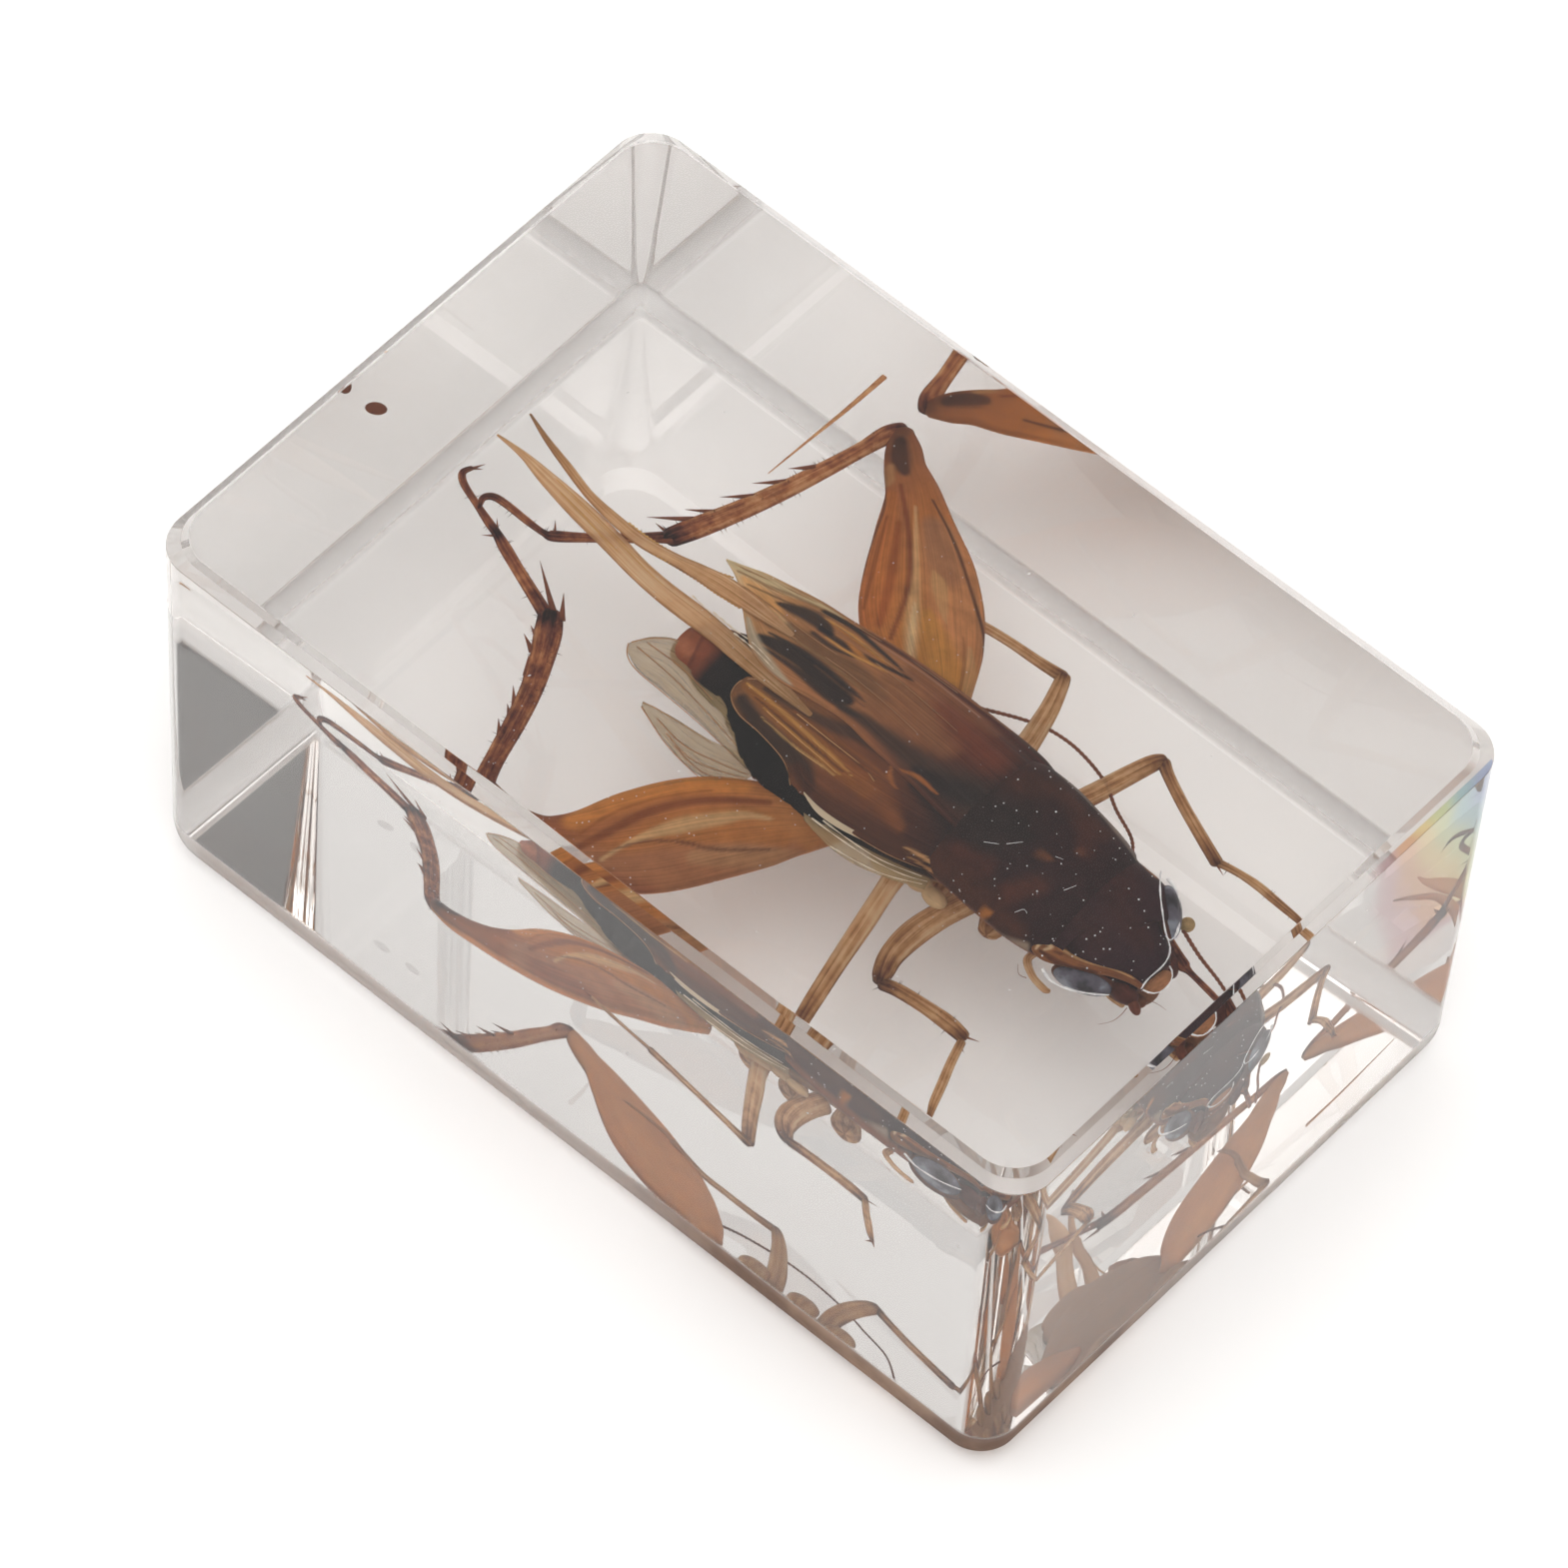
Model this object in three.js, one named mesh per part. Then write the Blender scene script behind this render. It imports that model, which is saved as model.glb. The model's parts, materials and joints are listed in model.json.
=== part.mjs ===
// A small clear block of cast resin, the kind that holds one insect.
// Millimetres, +Z up. The origin is the centre of the face that the block rests on.
// +X runs along the block, +Y across it. The top face is the one that the insect is viewed through.
import * as THREE from 'three';

// Driving dimensions.
const LENGTH = 44.0; // along X, at the widest level
const WIDTH = 28.7; // along Y, at the widest level
const HEIGHT = 20.3;
const DRAFT_ANGLE = 1.3; // degrees that each wall leans in towards the foot, so that the casting leaves its mould
const CORNER_RADIUS = 1.8; // upright corners, at the widest level
const FOOT_RADIUS = 1.2; // rounding between the walls and the resting face
const FOOT_CORNER_RADIUS = 1.1; // upright corners, where they meet the resting face
const RIM_DROP = 0.4; // height of the eased edge round the top face
const RIM_INSET = 0.6; // width of the eased edge round the top face

// How finely the round stretches are cut.
const CORNER_STEPS = 12;
const FOOT_STEPS = 6;
const RIM_STEPS = 4;

const QUARTER_TURN = Math.PI / 2;
const wallTop = HEIGHT - RIM_DROP;
const draftSlope = Math.tan(THREE.MathUtils.degToRad(DRAFT_ANGLE));

// The levels of the block from foot to top. Each has its height, how far it stands in from the widest
// level, and the radius of its corners.
function blockLevels() {
  const levels = [];
  const footInset = draftSlope * (wallTop - FOOT_RADIUS);
  for (let i = 0; i <= FOOT_STEPS; i += 1) {
    const angle = QUARTER_TURN * (1 - i / FOOT_STEPS);
    const turn = 1 - Math.cos(angle);
    levels.push({
      height: FOOT_RADIUS * (1 - Math.sin(angle)),
      inset: footInset + FOOT_RADIUS * turn,
      radius: THREE.MathUtils.lerp(CORNER_RADIUS, FOOT_CORNER_RADIUS, turn),
    });
  }
  for (let i = 0; i <= RIM_STEPS; i += 1) {
    const angle = QUARTER_TURN * (i / RIM_STEPS);
    const inset = RIM_INSET * (1 - Math.cos(angle));
    levels.push({
      height: wallTop + RIM_DROP * Math.sin(angle),
      inset,
      radius: CORNER_RADIUS - inset / 2,
    });
  }
  return levels;
}

// The outline of the widest level: a rectangle with round corners, centred on the origin.
function blockOutline() {
  const straightX = LENGTH / 2 - CORNER_RADIUS;
  const straightY = WIDTH / 2 - CORNER_RADIUS;
  const outline = new THREE.Shape();
  outline.absarc(straightX, straightY, CORNER_RADIUS, 0, QUARTER_TURN);
  outline.absarc(-straightX, straightY, CORNER_RADIUS, QUARTER_TURN, 2 * QUARTER_TURN);
  outline.absarc(-straightX, -straightY, CORNER_RADIUS, 2 * QUARTER_TURN, 3 * QUARTER_TURN);
  outline.absarc(straightX, -straightY, CORNER_RADIUS, 3 * QUARTER_TURN, 4 * QUARTER_TURN);
  outline.closePath();
  return outline;
}

// A point of the widest outline, drawn in to another level. The outline is everywhere one corner radius
// from the rectangle of the corner centres, so that rectangle and the radius are scaled apart.
function drawnIn(point, level) {
  const centreX = LENGTH / 2 - CORNER_RADIUS;
  const centreY = WIDTH / 2 - CORNER_RADIUS;
  const nearestX = THREE.MathUtils.clamp(point.x, -centreX, centreX);
  const nearestY = THREE.MathUtils.clamp(point.y, -centreY, centreY);
  const levelX = LENGTH / 2 - level.inset - level.radius;
  const levelY = WIDTH / 2 - level.inset - level.radius;
  const radiusScale = level.radius / CORNER_RADIUS;
  return new THREE.Vector3(
    nearestX * (levelX / centreX) + (point.x - nearestX) * radiusScale,
    nearestY * (levelY / centreY) + (point.y - nearestY) * radiusScale,
    level.height,
  );
}

// The block is the outline extruded with one step for each level, and each step is then drawn in.
function blockGeometry() {
  const levels = blockLevels();
  const steps = levels.length - 1;
  const geometry = new THREE.ExtrudeGeometry(blockOutline(), {
    depth: HEIGHT,
    steps,
    bevelEnabled: false,
    curveSegments: CORNER_STEPS,
  });
  const positions = geometry.getAttribute('position');
  const point = new THREE.Vector3();
  for (let i = 0; i < positions.count; i += 1) {
    point.fromBufferAttribute(positions, i);
    const level = levels[Math.round((point.z / HEIGHT) * steps)];
    const moved = drawnIn(point, level);
    positions.setXYZ(i, moved.x, moved.y, moved.z);
  }
  geometry.computeVertexNormals();
  return geometry;
}

const clearResin = new THREE.MeshStandardMaterial({
  color: 0xe6e3df,
  roughness: 0.05,
  metalness: 0,
  transparent: true,
  opacity: 0.35,
});

const block = new THREE.Mesh(blockGeometry(), clearResin);
block.name = 'resin_block';

const insectBlock = new THREE.Group();
insectBlock.name = 'insect_in_resin_block';
insectBlock.add(block);

export default insectBlock;
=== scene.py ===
# %% [markdown]
# # A cricket in a block of clear resin
# The CAD gives one solid: the block. Everything that is sealed in it is made here, in the same frame:
# millimetres on paper, metres in Blender, +Z up, +X towards the cricket's head.
# The first cell loads the frame and keeps the size of the CAD box.

# %% Load the frame
import bmesh, bpy, json, math
import numpy as np
from mathutils import Matrix, Vector

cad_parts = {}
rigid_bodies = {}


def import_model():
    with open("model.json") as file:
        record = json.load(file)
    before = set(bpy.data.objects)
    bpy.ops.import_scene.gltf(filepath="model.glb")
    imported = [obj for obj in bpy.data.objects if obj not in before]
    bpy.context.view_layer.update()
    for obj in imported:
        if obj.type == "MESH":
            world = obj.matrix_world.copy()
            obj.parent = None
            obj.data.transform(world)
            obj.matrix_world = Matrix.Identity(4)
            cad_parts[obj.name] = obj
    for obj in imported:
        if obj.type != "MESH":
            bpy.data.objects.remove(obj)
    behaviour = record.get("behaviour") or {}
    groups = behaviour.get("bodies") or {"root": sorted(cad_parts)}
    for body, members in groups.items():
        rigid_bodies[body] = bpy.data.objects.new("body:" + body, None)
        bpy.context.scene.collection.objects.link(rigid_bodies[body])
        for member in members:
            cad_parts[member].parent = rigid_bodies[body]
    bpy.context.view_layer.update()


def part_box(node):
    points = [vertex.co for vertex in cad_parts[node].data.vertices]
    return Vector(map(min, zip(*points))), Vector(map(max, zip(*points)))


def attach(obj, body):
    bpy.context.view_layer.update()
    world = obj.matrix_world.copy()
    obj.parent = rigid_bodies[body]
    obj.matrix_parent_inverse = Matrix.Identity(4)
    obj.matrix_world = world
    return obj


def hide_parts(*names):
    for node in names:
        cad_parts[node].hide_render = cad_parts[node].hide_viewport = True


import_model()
block_low, block_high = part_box("resin_block")
MM = 0.001
BLOCK_LENGTH, BLOCK_WIDTH, BLOCK_HEIGHT = [(b - a) / MM for a, b in zip(block_low, block_high)]
print("block, mm:", round(BLOCK_LENGTH, 2), round(BLOCK_WIDTH, 2), round(BLOCK_HEIGHT, 2))

# %% [markdown]
# ## Small helpers
# Colours are written as sRGB hex, the way a paint chip is read, and Blender mixes light in linear values,
# so one function turns the one into the other. Another adds a shader node with its settings and links.
# Every material then says only what is special about it.

# %% Colour and node helpers
def linear(hex_colour):
    channels = [int(hex_colour[i:i + 2], 16) / 255 for i in (1, 3, 5)]
    return tuple(c / 12.92 if c <= 0.04045 else ((c + 0.055) / 1.055) ** 2.4 for c in channels) + (1.0,)


def add_node(tree, kind, settings=None, values=None, links=None):
    node = tree.nodes.new(kind)
    for name, setting in (settings or {}).items():
        setattr(node, name, setting)
    for socket, value in (values or {}).items():
        node.inputs[socket].default_value = value
    for socket, source in (links or {}).items():
        tree.links.new(source, node.inputs[socket])
    return node


def new_material(name, values):
    material = bpy.data.materials.new(name)
    material.use_nodes = True
    shader = material.node_tree.nodes["Principled BSDF"]
    for socket, value in values.items():
        shader.inputs[socket].default_value = value
    return material, material.node_tree, shader


def colour_steps(tree, factor, steps, smooth=True):
    """A colour ramp: steps are (place, hex) pairs."""
    ramp = add_node(tree, "ShaderNodeValToRGB", links={"Fac": factor})
    ramp.color_ramp.interpolation = "EASE" if smooth else "LINEAR"
    elements = ramp.color_ramp.elements
    while len(elements) < len(steps):
        elements.new(0.5)
    for element, (place, hex_colour) in zip(elements, steps):
        element.position = place
        element.color = linear(hex_colour)
    return ramp.outputs["Color"]


print("helpers ready:", linear("#ffffff"))

# %% [markdown]
# ## Mesh helpers
# A cricket is nearly all tubes and sheets: legs, feelers and body are tubes that swell and flatten, wings are
# sheets. Both can be lofted: cross-sections stand along a path and are joined up. A subdivision surface over
# a box cage would also do, but a loft takes its widths straight from a caliper, so it is the way here.
# A path is given by a few points, and a Catmull-Rom curve fills in between them.

# %% Paths
def fill_in(rows, steps):
    """Catmull-Rom through rows of numbers, with steps stretches between each two."""
    rows = [tuple(float(v) for v in row) for row in rows]
    padded = [rows[0]] + rows + [rows[-1]]
    filled = []
    for i in range(len(rows) - 1):
        before, start, end, after = padded[i:i + 4]
        for step in range(steps):
            t = step / steps
            filled.append(tuple(
                0.5 * (2 * b + (c - a) * t + (2 * a - 5 * b + 4 * c - d) * t * t
                       + (3 * b - a - 3 * c + d) * t ** 3)
                for a, b, c, d in zip(before, start, end, after)))
    filled.append(rows[-1])
    return filled


def put_in_scene(name, data):
    piece = bpy.data.objects.new(name, data)
    bpy.context.scene.collection.objects.link(piece)
    return piece


def new_object(name, vertices_mm, faces, material):
    mesh = bpy.data.meshes.new(name)
    mesh.from_pydata([Vector(v) * MM for v in vertices_mm], [], faces)
    mesh.materials.append(material)
    for polygon in mesh.polygons:
        polygon.use_smooth = True
    mesh.update()
    return put_in_scene(name, mesh)


def set_point_value(piece, name, values):
    attribute = piece.data.attributes.new(name, "FLOAT", "POINT")
    attribute.data.foreach_set("value", values)


def set_point_uv(piece, uvs):
    layer = piece.data.uv_layers.new(name="along_across")
    for loop in piece.data.loops:
        layer.data[loop.index].uv = uvs[loop.vertex_index]


# %% Tubes
CAP_ANGLES = (28, 55, 80)  # degrees round the end of a tube, from its last ring to near its pole


def tube(name, stations, material, sides=20, steps=6, cap=0.7):
    """stations: x, y, z, half width, half thickness, tone. The thickness stands up as the path allows,
    and cap says how far the round ends stand out, in half widths."""
    rows = fill_in(stations, steps)
    centres = [Vector(row[:3]) for row in rows]
    vertices, tones, uvs = [], [], []
    length = len(rows) - 1

    def add_ring(i, bulge=0, side=0):
        """One ring, or with a bulge one of the smaller rings of the cap on that side."""
        x, y, z, half_width, half_thickness, tone = rows[i]
        ahead = (centres[min(i + 1, length)] - centres[max(i - 1, 0)]).normalized()
        across = ahead.cross(Vector((0, 0, 1))).normalized()
        up = across.cross(ahead).normalized()
        share = math.cos(math.radians(bulge))
        out = side * math.sin(math.radians(bulge)) * cap * half_width
        centre = centres[i] + ahead * out
        for k in range(sides):
            turn = 2 * math.pi * k / sides
            vertices.append(centre + across * half_width * share * math.cos(turn)
                            + up * half_thickness * share * math.sin(turn))
            tones.append(tone)
            uvs.append((i / length, 0.5 + 0.5 * math.cos(turn)))

    for bulge in reversed(CAP_ANGLES):
        add_ring(0, bulge, -1)
    for i in range(len(rows)):
        add_ring(i)
    for bulge in CAP_ANGLES:
        add_ring(length, bulge, 1)
    count = len(vertices) // sides
    faces = [(r * sides + k, r * sides + (k + 1) % sides, (r + 1) * sides + (k + 1) % sides,
              (r + 1) * sides + k)
             for r in range(count - 1) for k in range(sides)]
    faces.append(tuple(reversed(range(sides))))
    faces.append(tuple((count - 1) * sides + k for k in range(sides)))
    piece = new_object(name, vertices, faces, material)
    set_point_value(piece, "tone", tones)
    set_point_uv(piece, uvs)
    make_normals_out(piece)
    return piece


def make_normals_out(piece):
    work = bmesh.new()
    work.from_mesh(piece.data)
    bmesh.ops.recalc_face_normals(work, faces=work.faces)
    work.to_mesh(piece.data)
    work.free()


# %% Sheets
def sheet(name, left_edge, right_edge, material, thickness=0.05, steps=6, across_steps=24, shape=None,
          tone=None):
    """A thin sheet between two edges of x, y, z points. shape(point) may move each point, and tone(v) gives
    the darkness from 0 at the left edge to 1 at the right one."""
    left, right = fill_in(left_edge, steps), fill_in(right_edge, steps)
    rows, columns = len(left), across_steps + 1
    vertices, tones, uvs = [], [], []
    for i in range(rows):
        for j in range(columns):
            u, v = i / (rows - 1), j / across_steps
            point = Vector(left[i]).lerp(Vector(right[i]), v)
            vertices.append(shape(point) if shape else point)
            tones.append(tone(v) if tone else 0.5)
            uvs.append((u, v))
    faces = [(i * columns + j, i * columns + j + 1, (i + 1) * columns + j + 1, (i + 1) * columns + j)
             for i in range(rows - 1) for j in range(across_steps)]
    piece = new_object(name, vertices, faces, material)
    set_point_value(piece, "tone", tones)
    set_point_uv(piece, uvs)
    solid = piece.modifiers.new("thickness", "SOLIDIFY")
    solid.thickness = thickness * MM
    solid.offset = 0
    apply_modifiers(piece)
    make_normals_out(piece)
    return piece


def apply_modifiers(piece):
    graph = bpy.context.evaluated_depsgraph_get()
    finished = bpy.data.meshes.new_from_object(piece.evaluated_get(graph), depsgraph=graph)
    piece.modifiers.clear()
    piece.data = finished
    for polygon in finished.polygons:
        polygon.use_smooth = True


def smoothstep(low, high, value):
    t = min(1.0, max(0.0, (value - low) / (high - low)))
    return t * t * (3 - 2 * t)


print("mesh helpers ready")

# %% [markdown]
# ## Geometry Nodes helpers
# Spines, bristles, veins and dust repeat by the hundred, so Geometry Nodes grow them: a thorn stands on each
# point of a small mesh, or a thread follows each spline of a curve. The tree is built here with named inputs.
# When it has grown, the result is turned into a plain mesh.

# %% Node trees for thorns and threads
def new_tree(name, inputs):
    tree = bpy.data.node_groups.new(name, "GeometryNodeTree")
    tree.interface.new_socket("Geometry", in_out="INPUT", socket_type="NodeSocketGeometry")
    for label, kind in inputs:
        tree.interface.new_socket(label, in_out="INPUT", socket_type=kind)
    tree.interface.new_socket("Geometry", in_out="OUTPUT", socket_type="NodeSocketGeometry")
    entrance = add_node(tree, "NodeGroupInput")
    leaving = add_node(tree, "NodeGroupOutput")
    return tree, entrance.outputs, leaving.inputs[0]


def close_tree(tree, geometry, material, leaving):
    realized = add_node(tree, "GeometryNodeRealizeInstances", links={"Geometry": geometry})
    shaded = add_node(tree, "GeometryNodeSetShadeSmooth", links={"Geometry": realized.outputs[0]})
    painted = add_node(tree, "GeometryNodeSetMaterial",
                       links={"Geometry": shaded.outputs[0], "Material": material})
    tree.links.new(painted.outputs[0], leaving)


def named_value(tree, name, kind):
    node = add_node(tree, "GeometryNodeInputNamedAttribute", {"data_type": kind}, {"Name": name})
    return node.outputs["Attribute"]


thorn_tree, given, leaving = new_tree("thorns", [
    ("Root radius", "NodeSocketFloat"), ("Sides", "NodeSocketInt"), ("Material", "NodeSocketMaterial")])
cone = add_node(thorn_tree, "GeometryNodeMeshCone", {"fill_type": "NGON"},
                {"Radius Top": 0.04, "Radius Bottom": 1.0, "Depth": 1.0, "Side Segments": 3},
                {"Vertices": given["Sides"]})
turn = add_node(thorn_tree, "FunctionNodeAlignRotationToVector", {"axis": "Z"},
                links={"Vector": named_value(thorn_tree, "aim", "FLOAT_VECTOR")})
reach = add_node(thorn_tree, "ShaderNodeCombineXYZ",
                 links={"X": given["Root radius"], "Y": given["Root radius"],
                        "Z": named_value(thorn_tree, "reach", "FLOAT")})
standing = add_node(thorn_tree, "GeometryNodeInstanceOnPoints",
                    links={"Points": given["Geometry"], "Instance": cone.outputs["Mesh"],
                           "Rotation": turn.outputs[0], "Scale": reach.outputs[0]})
close_tree(thorn_tree, standing.outputs[0], given["Material"], leaving)

thread_tree, given, leaving = new_tree("threads", [
    ("Radius", "NodeSocketFloat"), ("Joint length", "NodeSocketFloat"), ("Swell", "NodeSocketFloat"),
    ("Material", "NodeSocketMaterial")])
quarter = add_node(thread_tree, "ShaderNodeMath", {"operation": "MULTIPLY"}, {1: 0.25},
                   {0: given["Joint length"]})
resampled = add_node(thread_tree, "GeometryNodeResampleCurve", {"mode": "LENGTH"},
                     links={"Curve": given["Geometry"], "Length": quarter.outputs[0]})
place = add_node(thread_tree, "GeometryNodeSplineParameter")
beat = add_node(thread_tree, "ShaderNodeMath", {"operation": "DIVIDE"},
                links={0: place.outputs["Length"], 1: given["Joint length"]})
angle = add_node(thread_tree, "ShaderNodeMath", {"operation": "MULTIPLY"}, {1: 2 * math.pi},
                 {0: beat.outputs[0]})
wave = add_node(thread_tree, "ShaderNodeMath", {"operation": "SINE"}, links={0: angle.outputs[0]})
swelling = add_node(thread_tree, "ShaderNodeMath", {"operation": "MULTIPLY_ADD"}, {2: 1.0},
                    {0: wave.outputs[0], 1: given["Swell"]})
own = add_node(thread_tree, "GeometryNodeInputRadius")
factor = add_node(thread_tree, "ShaderNodeMath", {"operation": "MULTIPLY"},
                  links={0: swelling.outputs[0], 1: own.outputs[0]})
radius = add_node(thread_tree, "ShaderNodeMath", {"operation": "MULTIPLY"},
                  links={0: factor.outputs[0], 1: given["Radius"]})
ring = add_node(thread_tree, "GeometryNodeCurvePrimitiveCircle", {"mode": "RADIUS"},
                {"Resolution": 7, "Radius": 1.0})
swept = add_node(thread_tree, "GeometryNodeCurveToMesh", values={"Fill Caps": True},
                 links={"Curve": resampled.outputs[0], "Profile Curve": ring.outputs[0],
                        "Scale": radius.outputs[0]})
close_tree(thread_tree, swept.outputs[0], given["Material"], leaving)
print("trees:", thorn_tree.name, thread_tree.name)

# %% Growing thorns and threads
def grow(name, source_data, tree, settings):
    source = put_in_scene(name + "_source", source_data)
    modifier = source.modifiers.new("grow", "NODES")
    modifier.node_group = tree
    sockets = {item.name: item.identifier for item in tree.interface.items_tree if item.in_out == "INPUT"}
    for label, value in settings.items():
        modifier[sockets[label]] = value
    graph = bpy.context.evaluated_depsgraph_get()
    mesh = bpy.data.meshes.new_from_object(source.evaluated_get(graph), depsgraph=graph)
    bpy.data.objects.remove(source)
    mesh.name = name
    return put_in_scene(name, mesh)


def thorns(name, roots_and_tips, root_radius, material):
    """Each thorn goes from its root to its tip, both in mm."""
    mesh = bpy.data.meshes.new(name + "_roots")
    mesh.from_pydata([Vector(root) * MM for root, tip in roots_and_tips], [], [])
    ways = [Vector(tip) - Vector(root) for root, tip in roots_and_tips]
    mesh.attributes.new("aim", "FLOAT_VECTOR", "POINT")
    mesh.attributes.new("reach", "FLOAT", "POINT")
    mesh.attributes["aim"].data.foreach_set("vector", [v for way in ways for v in way.normalized()])
    mesh.attributes["reach"].data.foreach_set("value", [way.length * MM for way in ways])
    return grow(name, mesh, thorn_tree, {"Root radius": root_radius * MM, "Sides": 8, "Material": material})


def threads(name, paths, radius, material, joint_length=0.4, swell=0.0, taper=0.35):
    """Each path is a list of x, y, z points in mm. Its thread thins to taper of its radius at the end."""
    curve = bpy.data.curves.new(name + "_paths", "CURVE")
    curve.dimensions = "3D"
    for path in paths:
        rows = fill_in(path, 6)
        spline = curve.splines.new("POLY")
        spline.points.add(len(rows) - 1)
        for i, row in enumerate(rows):
            spline.points[i].co = (row[0] * MM, row[1] * MM, row[2] * MM, 1)
            spline.points[i].radius = 1 - (1 - taper) * i / (len(rows) - 1)
    return grow(name, curve, thread_tree, {"Radius": radius * MM, "Joint length": joint_length * MM,
                                           "Swell": swell, "Material": material})


print("growers ready")

# %% [markdown]
# ## Camera
# The block is looked down on from about 55 degrees, from nearly half a metre away with a long lens, as a
# small object is shown in a catalogue. The camera is rolled by 5 degrees. Its place is worked out from the
# angles, so each can be changed alone.

# %% Make the camera
CAMERA_AZIMUTH, CAMERA_HEIGHT, CAMERA_ROLL = 37.339, 54.784, 5.053
CAMERA_DISTANCE = 453.04
CAMERA_ASIDE, CAMERA_UP = -1.19, 0.35
LENS = 269.2

azimuth, height_angle, roll = (math.radians(a) for a in (CAMERA_AZIMUTH, CAMERA_HEIGHT, CAMERA_ROLL))
back = Vector((math.sin(azimuth) * math.cos(height_angle), -math.cos(azimuth) * math.cos(height_angle),
               math.sin(height_angle)))
level_right = (-back).cross(Vector((0, 0, 1))).normalized()
level_up = level_right.cross(-back)
right = level_right * math.cos(roll) + level_up * math.sin(roll)
up = level_up * math.cos(roll) - level_right * math.sin(roll)
camera_data = bpy.data.cameras.new("camera")
camera_data.lens = LENS
camera_data.clip_start = 0.01
camera = put_in_scene("camera", camera_data)
camera.matrix_world = Matrix((right, up, back)).transposed().to_4x4()
block_middle = Vector((0, 0, BLOCK_HEIGHT / 2))
camera.location = (block_middle + back * CAMERA_DISTANCE + right * CAMERA_ASIDE + up * CAMERA_UP) * MM
bpy.context.scene.camera = camera
print("camera at, mm:", [round(v / MM, 1) for v in camera.location])

# %% [markdown]
# ## Floor and light
# Clear resin shows what is round it, so the studio matters more than on an opaque thing. The floor is a
# plain white sheet on a light table, so it glows a little and the shadows stay pale. A soft white dome lights
# it, brightest overhead as under a large softbox. One dark card stands behind on the right: it shows in the
# far left end of the block, and without something dark, clear resin has no edges. A front softbox fills in
# the floor, and the resin neither bends nor mirrors its light.
# The floor lies 0.05 mm below the foot. That air film is there on a real table too, and it makes the foot
# work as a mirror from inside.

# %% Make the floor
AIR_FILM = 0.05
floor_material, tree, shader = new_material("white matt paper sweep", {
    "Base Color": linear("#f3f3f3"), "Roughness": 0.9, "Specular IOR Level": 0.1,
    "Emission Color": linear("#fff9f7"), "Emission Strength": 0.1})
FLOOR_HALF = 1500.0
floor_corners = [(sx * FLOOR_HALF, sy * FLOOR_HALF, -AIR_FILM)
                 for sx, sy in ((-1, -1), (1, -1), (1, 1), (-1, 1))]
floor = new_object("floor", floor_corners, [(0, 1, 2, 3)], floor_material)
print("floor, m across:", 2 * FLOOR_HALF * MM)

# %% Make the light
DOME_LIGHT, OVERHEAD_LIGHT, DARK_CARD, FRONT_LIGHT = 0.64, 2.45, 0.03, 0.3
world = bpy.data.worlds.new("light tent with an overhead softbox")
world.use_nodes = True
bpy.context.scene.world = world
tree = world.node_tree
background = tree.nodes["Background"]
direction = add_node(tree, "ShaderNodeTexCoord").outputs["Generated"]


def near_direction(target, wide, narrow):
    """1 within narrow degrees of the target, 0 beyond wide degrees."""
    facing = add_node(tree, "ShaderNodeVectorMath", {"operation": "DOT_PRODUCT"},
                      {1: Vector(target).normalized()}, {0: direction})
    return add_node(tree, "ShaderNodeMapRange", {"interpolation_type": "SMOOTHSTEP"},
                    {"From Min": math.cos(math.radians(wide)), "From Max": math.cos(math.radians(narrow))},
                    {"Value": facing.outputs["Value"]}).outputs["Result"]


overhead = add_node(tree, "ShaderNodeMix", {"data_type": "FLOAT"},
                    {2: DOME_LIGHT, 3: DOME_LIGHT + OVERHEAD_LIGHT},
                    {0: near_direction((0.05, -0.1, 1.0), 34, 22)})
panelled = add_node(tree, "ShaderNodeMix", {"data_type": "FLOAT"}, {3: DARK_CARD},
                    {0: near_direction((0.43, 0.42, 0.8), 15, 8), 2: overhead.outputs[0]})
tree.links.new(panelled.outputs[0], background.inputs["Strength"])
background.inputs["Color"].default_value = linear("#fffdfb")
front_light = bpy.data.lights.new("front_softbox", "SUN")
front_light.energy = FRONT_LIGHT
front_light.angle = math.radians(25)
front_lamp = put_in_scene("front_softbox", front_light)
front_lamp.rotation_euler = Vector((0.35, -0.42, 0.84)).to_track_quat("Z", "Y").to_euler()
front_lamp.visible_transmission = front_lamp.visible_glossy = False
scene = bpy.context.scene
scene.view_settings.view_transform = "Standard"
scene.cycles.max_bounces = 32
scene.cycles.transmission_bounces = 28
scene.cycles.glossy_bounces = 16
scene.cycles.diffuse_bounces = 5
scene.cycles.sample_clamp_indirect = 6.0
print("dome", DOME_LIGHT, "overhead", OVERHEAD_LIGHT, "dark card", DARK_CARD, "front", FRONT_LIGHT)

# %% [markdown]
# ## The resin block
# The block is cast in an open mould and polished: flat faces, walls that lean in a little towards the foot,
# round upright corners, a rounded foot, and a top edge eased with two narrow flats. It could be a cube with
# a bevel. Here it is built level by level instead, because resin bends light by its normals: each level gets
# the exact normal of its slope, so that flat faces stay optically flat.

# %% Resin
# Clear polyester casting resin, poured and polished: as clear as window glass, with a faint straw tint that
# only shows through its full depth. The rounding at the foot came satin from the mould and was never
# polished, so the roughness is set by height: 0 on the flat foot and on the walls, satin between them. At the
# front corner the lowest two millimetres are painted brown in patches and made less clear, fading out along
# both walls.
FOOT_FLAT, WALL_START = 0.02, 2.3
SATIN_STEPS = ((0.0, 0.0), (0.03, 0.8), (0.7, 0.75), (1.0, 0.0))  # place between the two levels, roughness
BROWN_BAND_REACH = (("X", -3.0, 9.0), ("Y", 9.0, -10.0), ("Z", 2.2, 1.95))  # mm where it ends and where it is full
resin, tree, shader = new_material("clear cast polyester resin", {
    "Base Color": (1, 1, 1, 1), "Roughness": 0.0, "IOR": 1.55, "Transmission Weight": 1.0})
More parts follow.
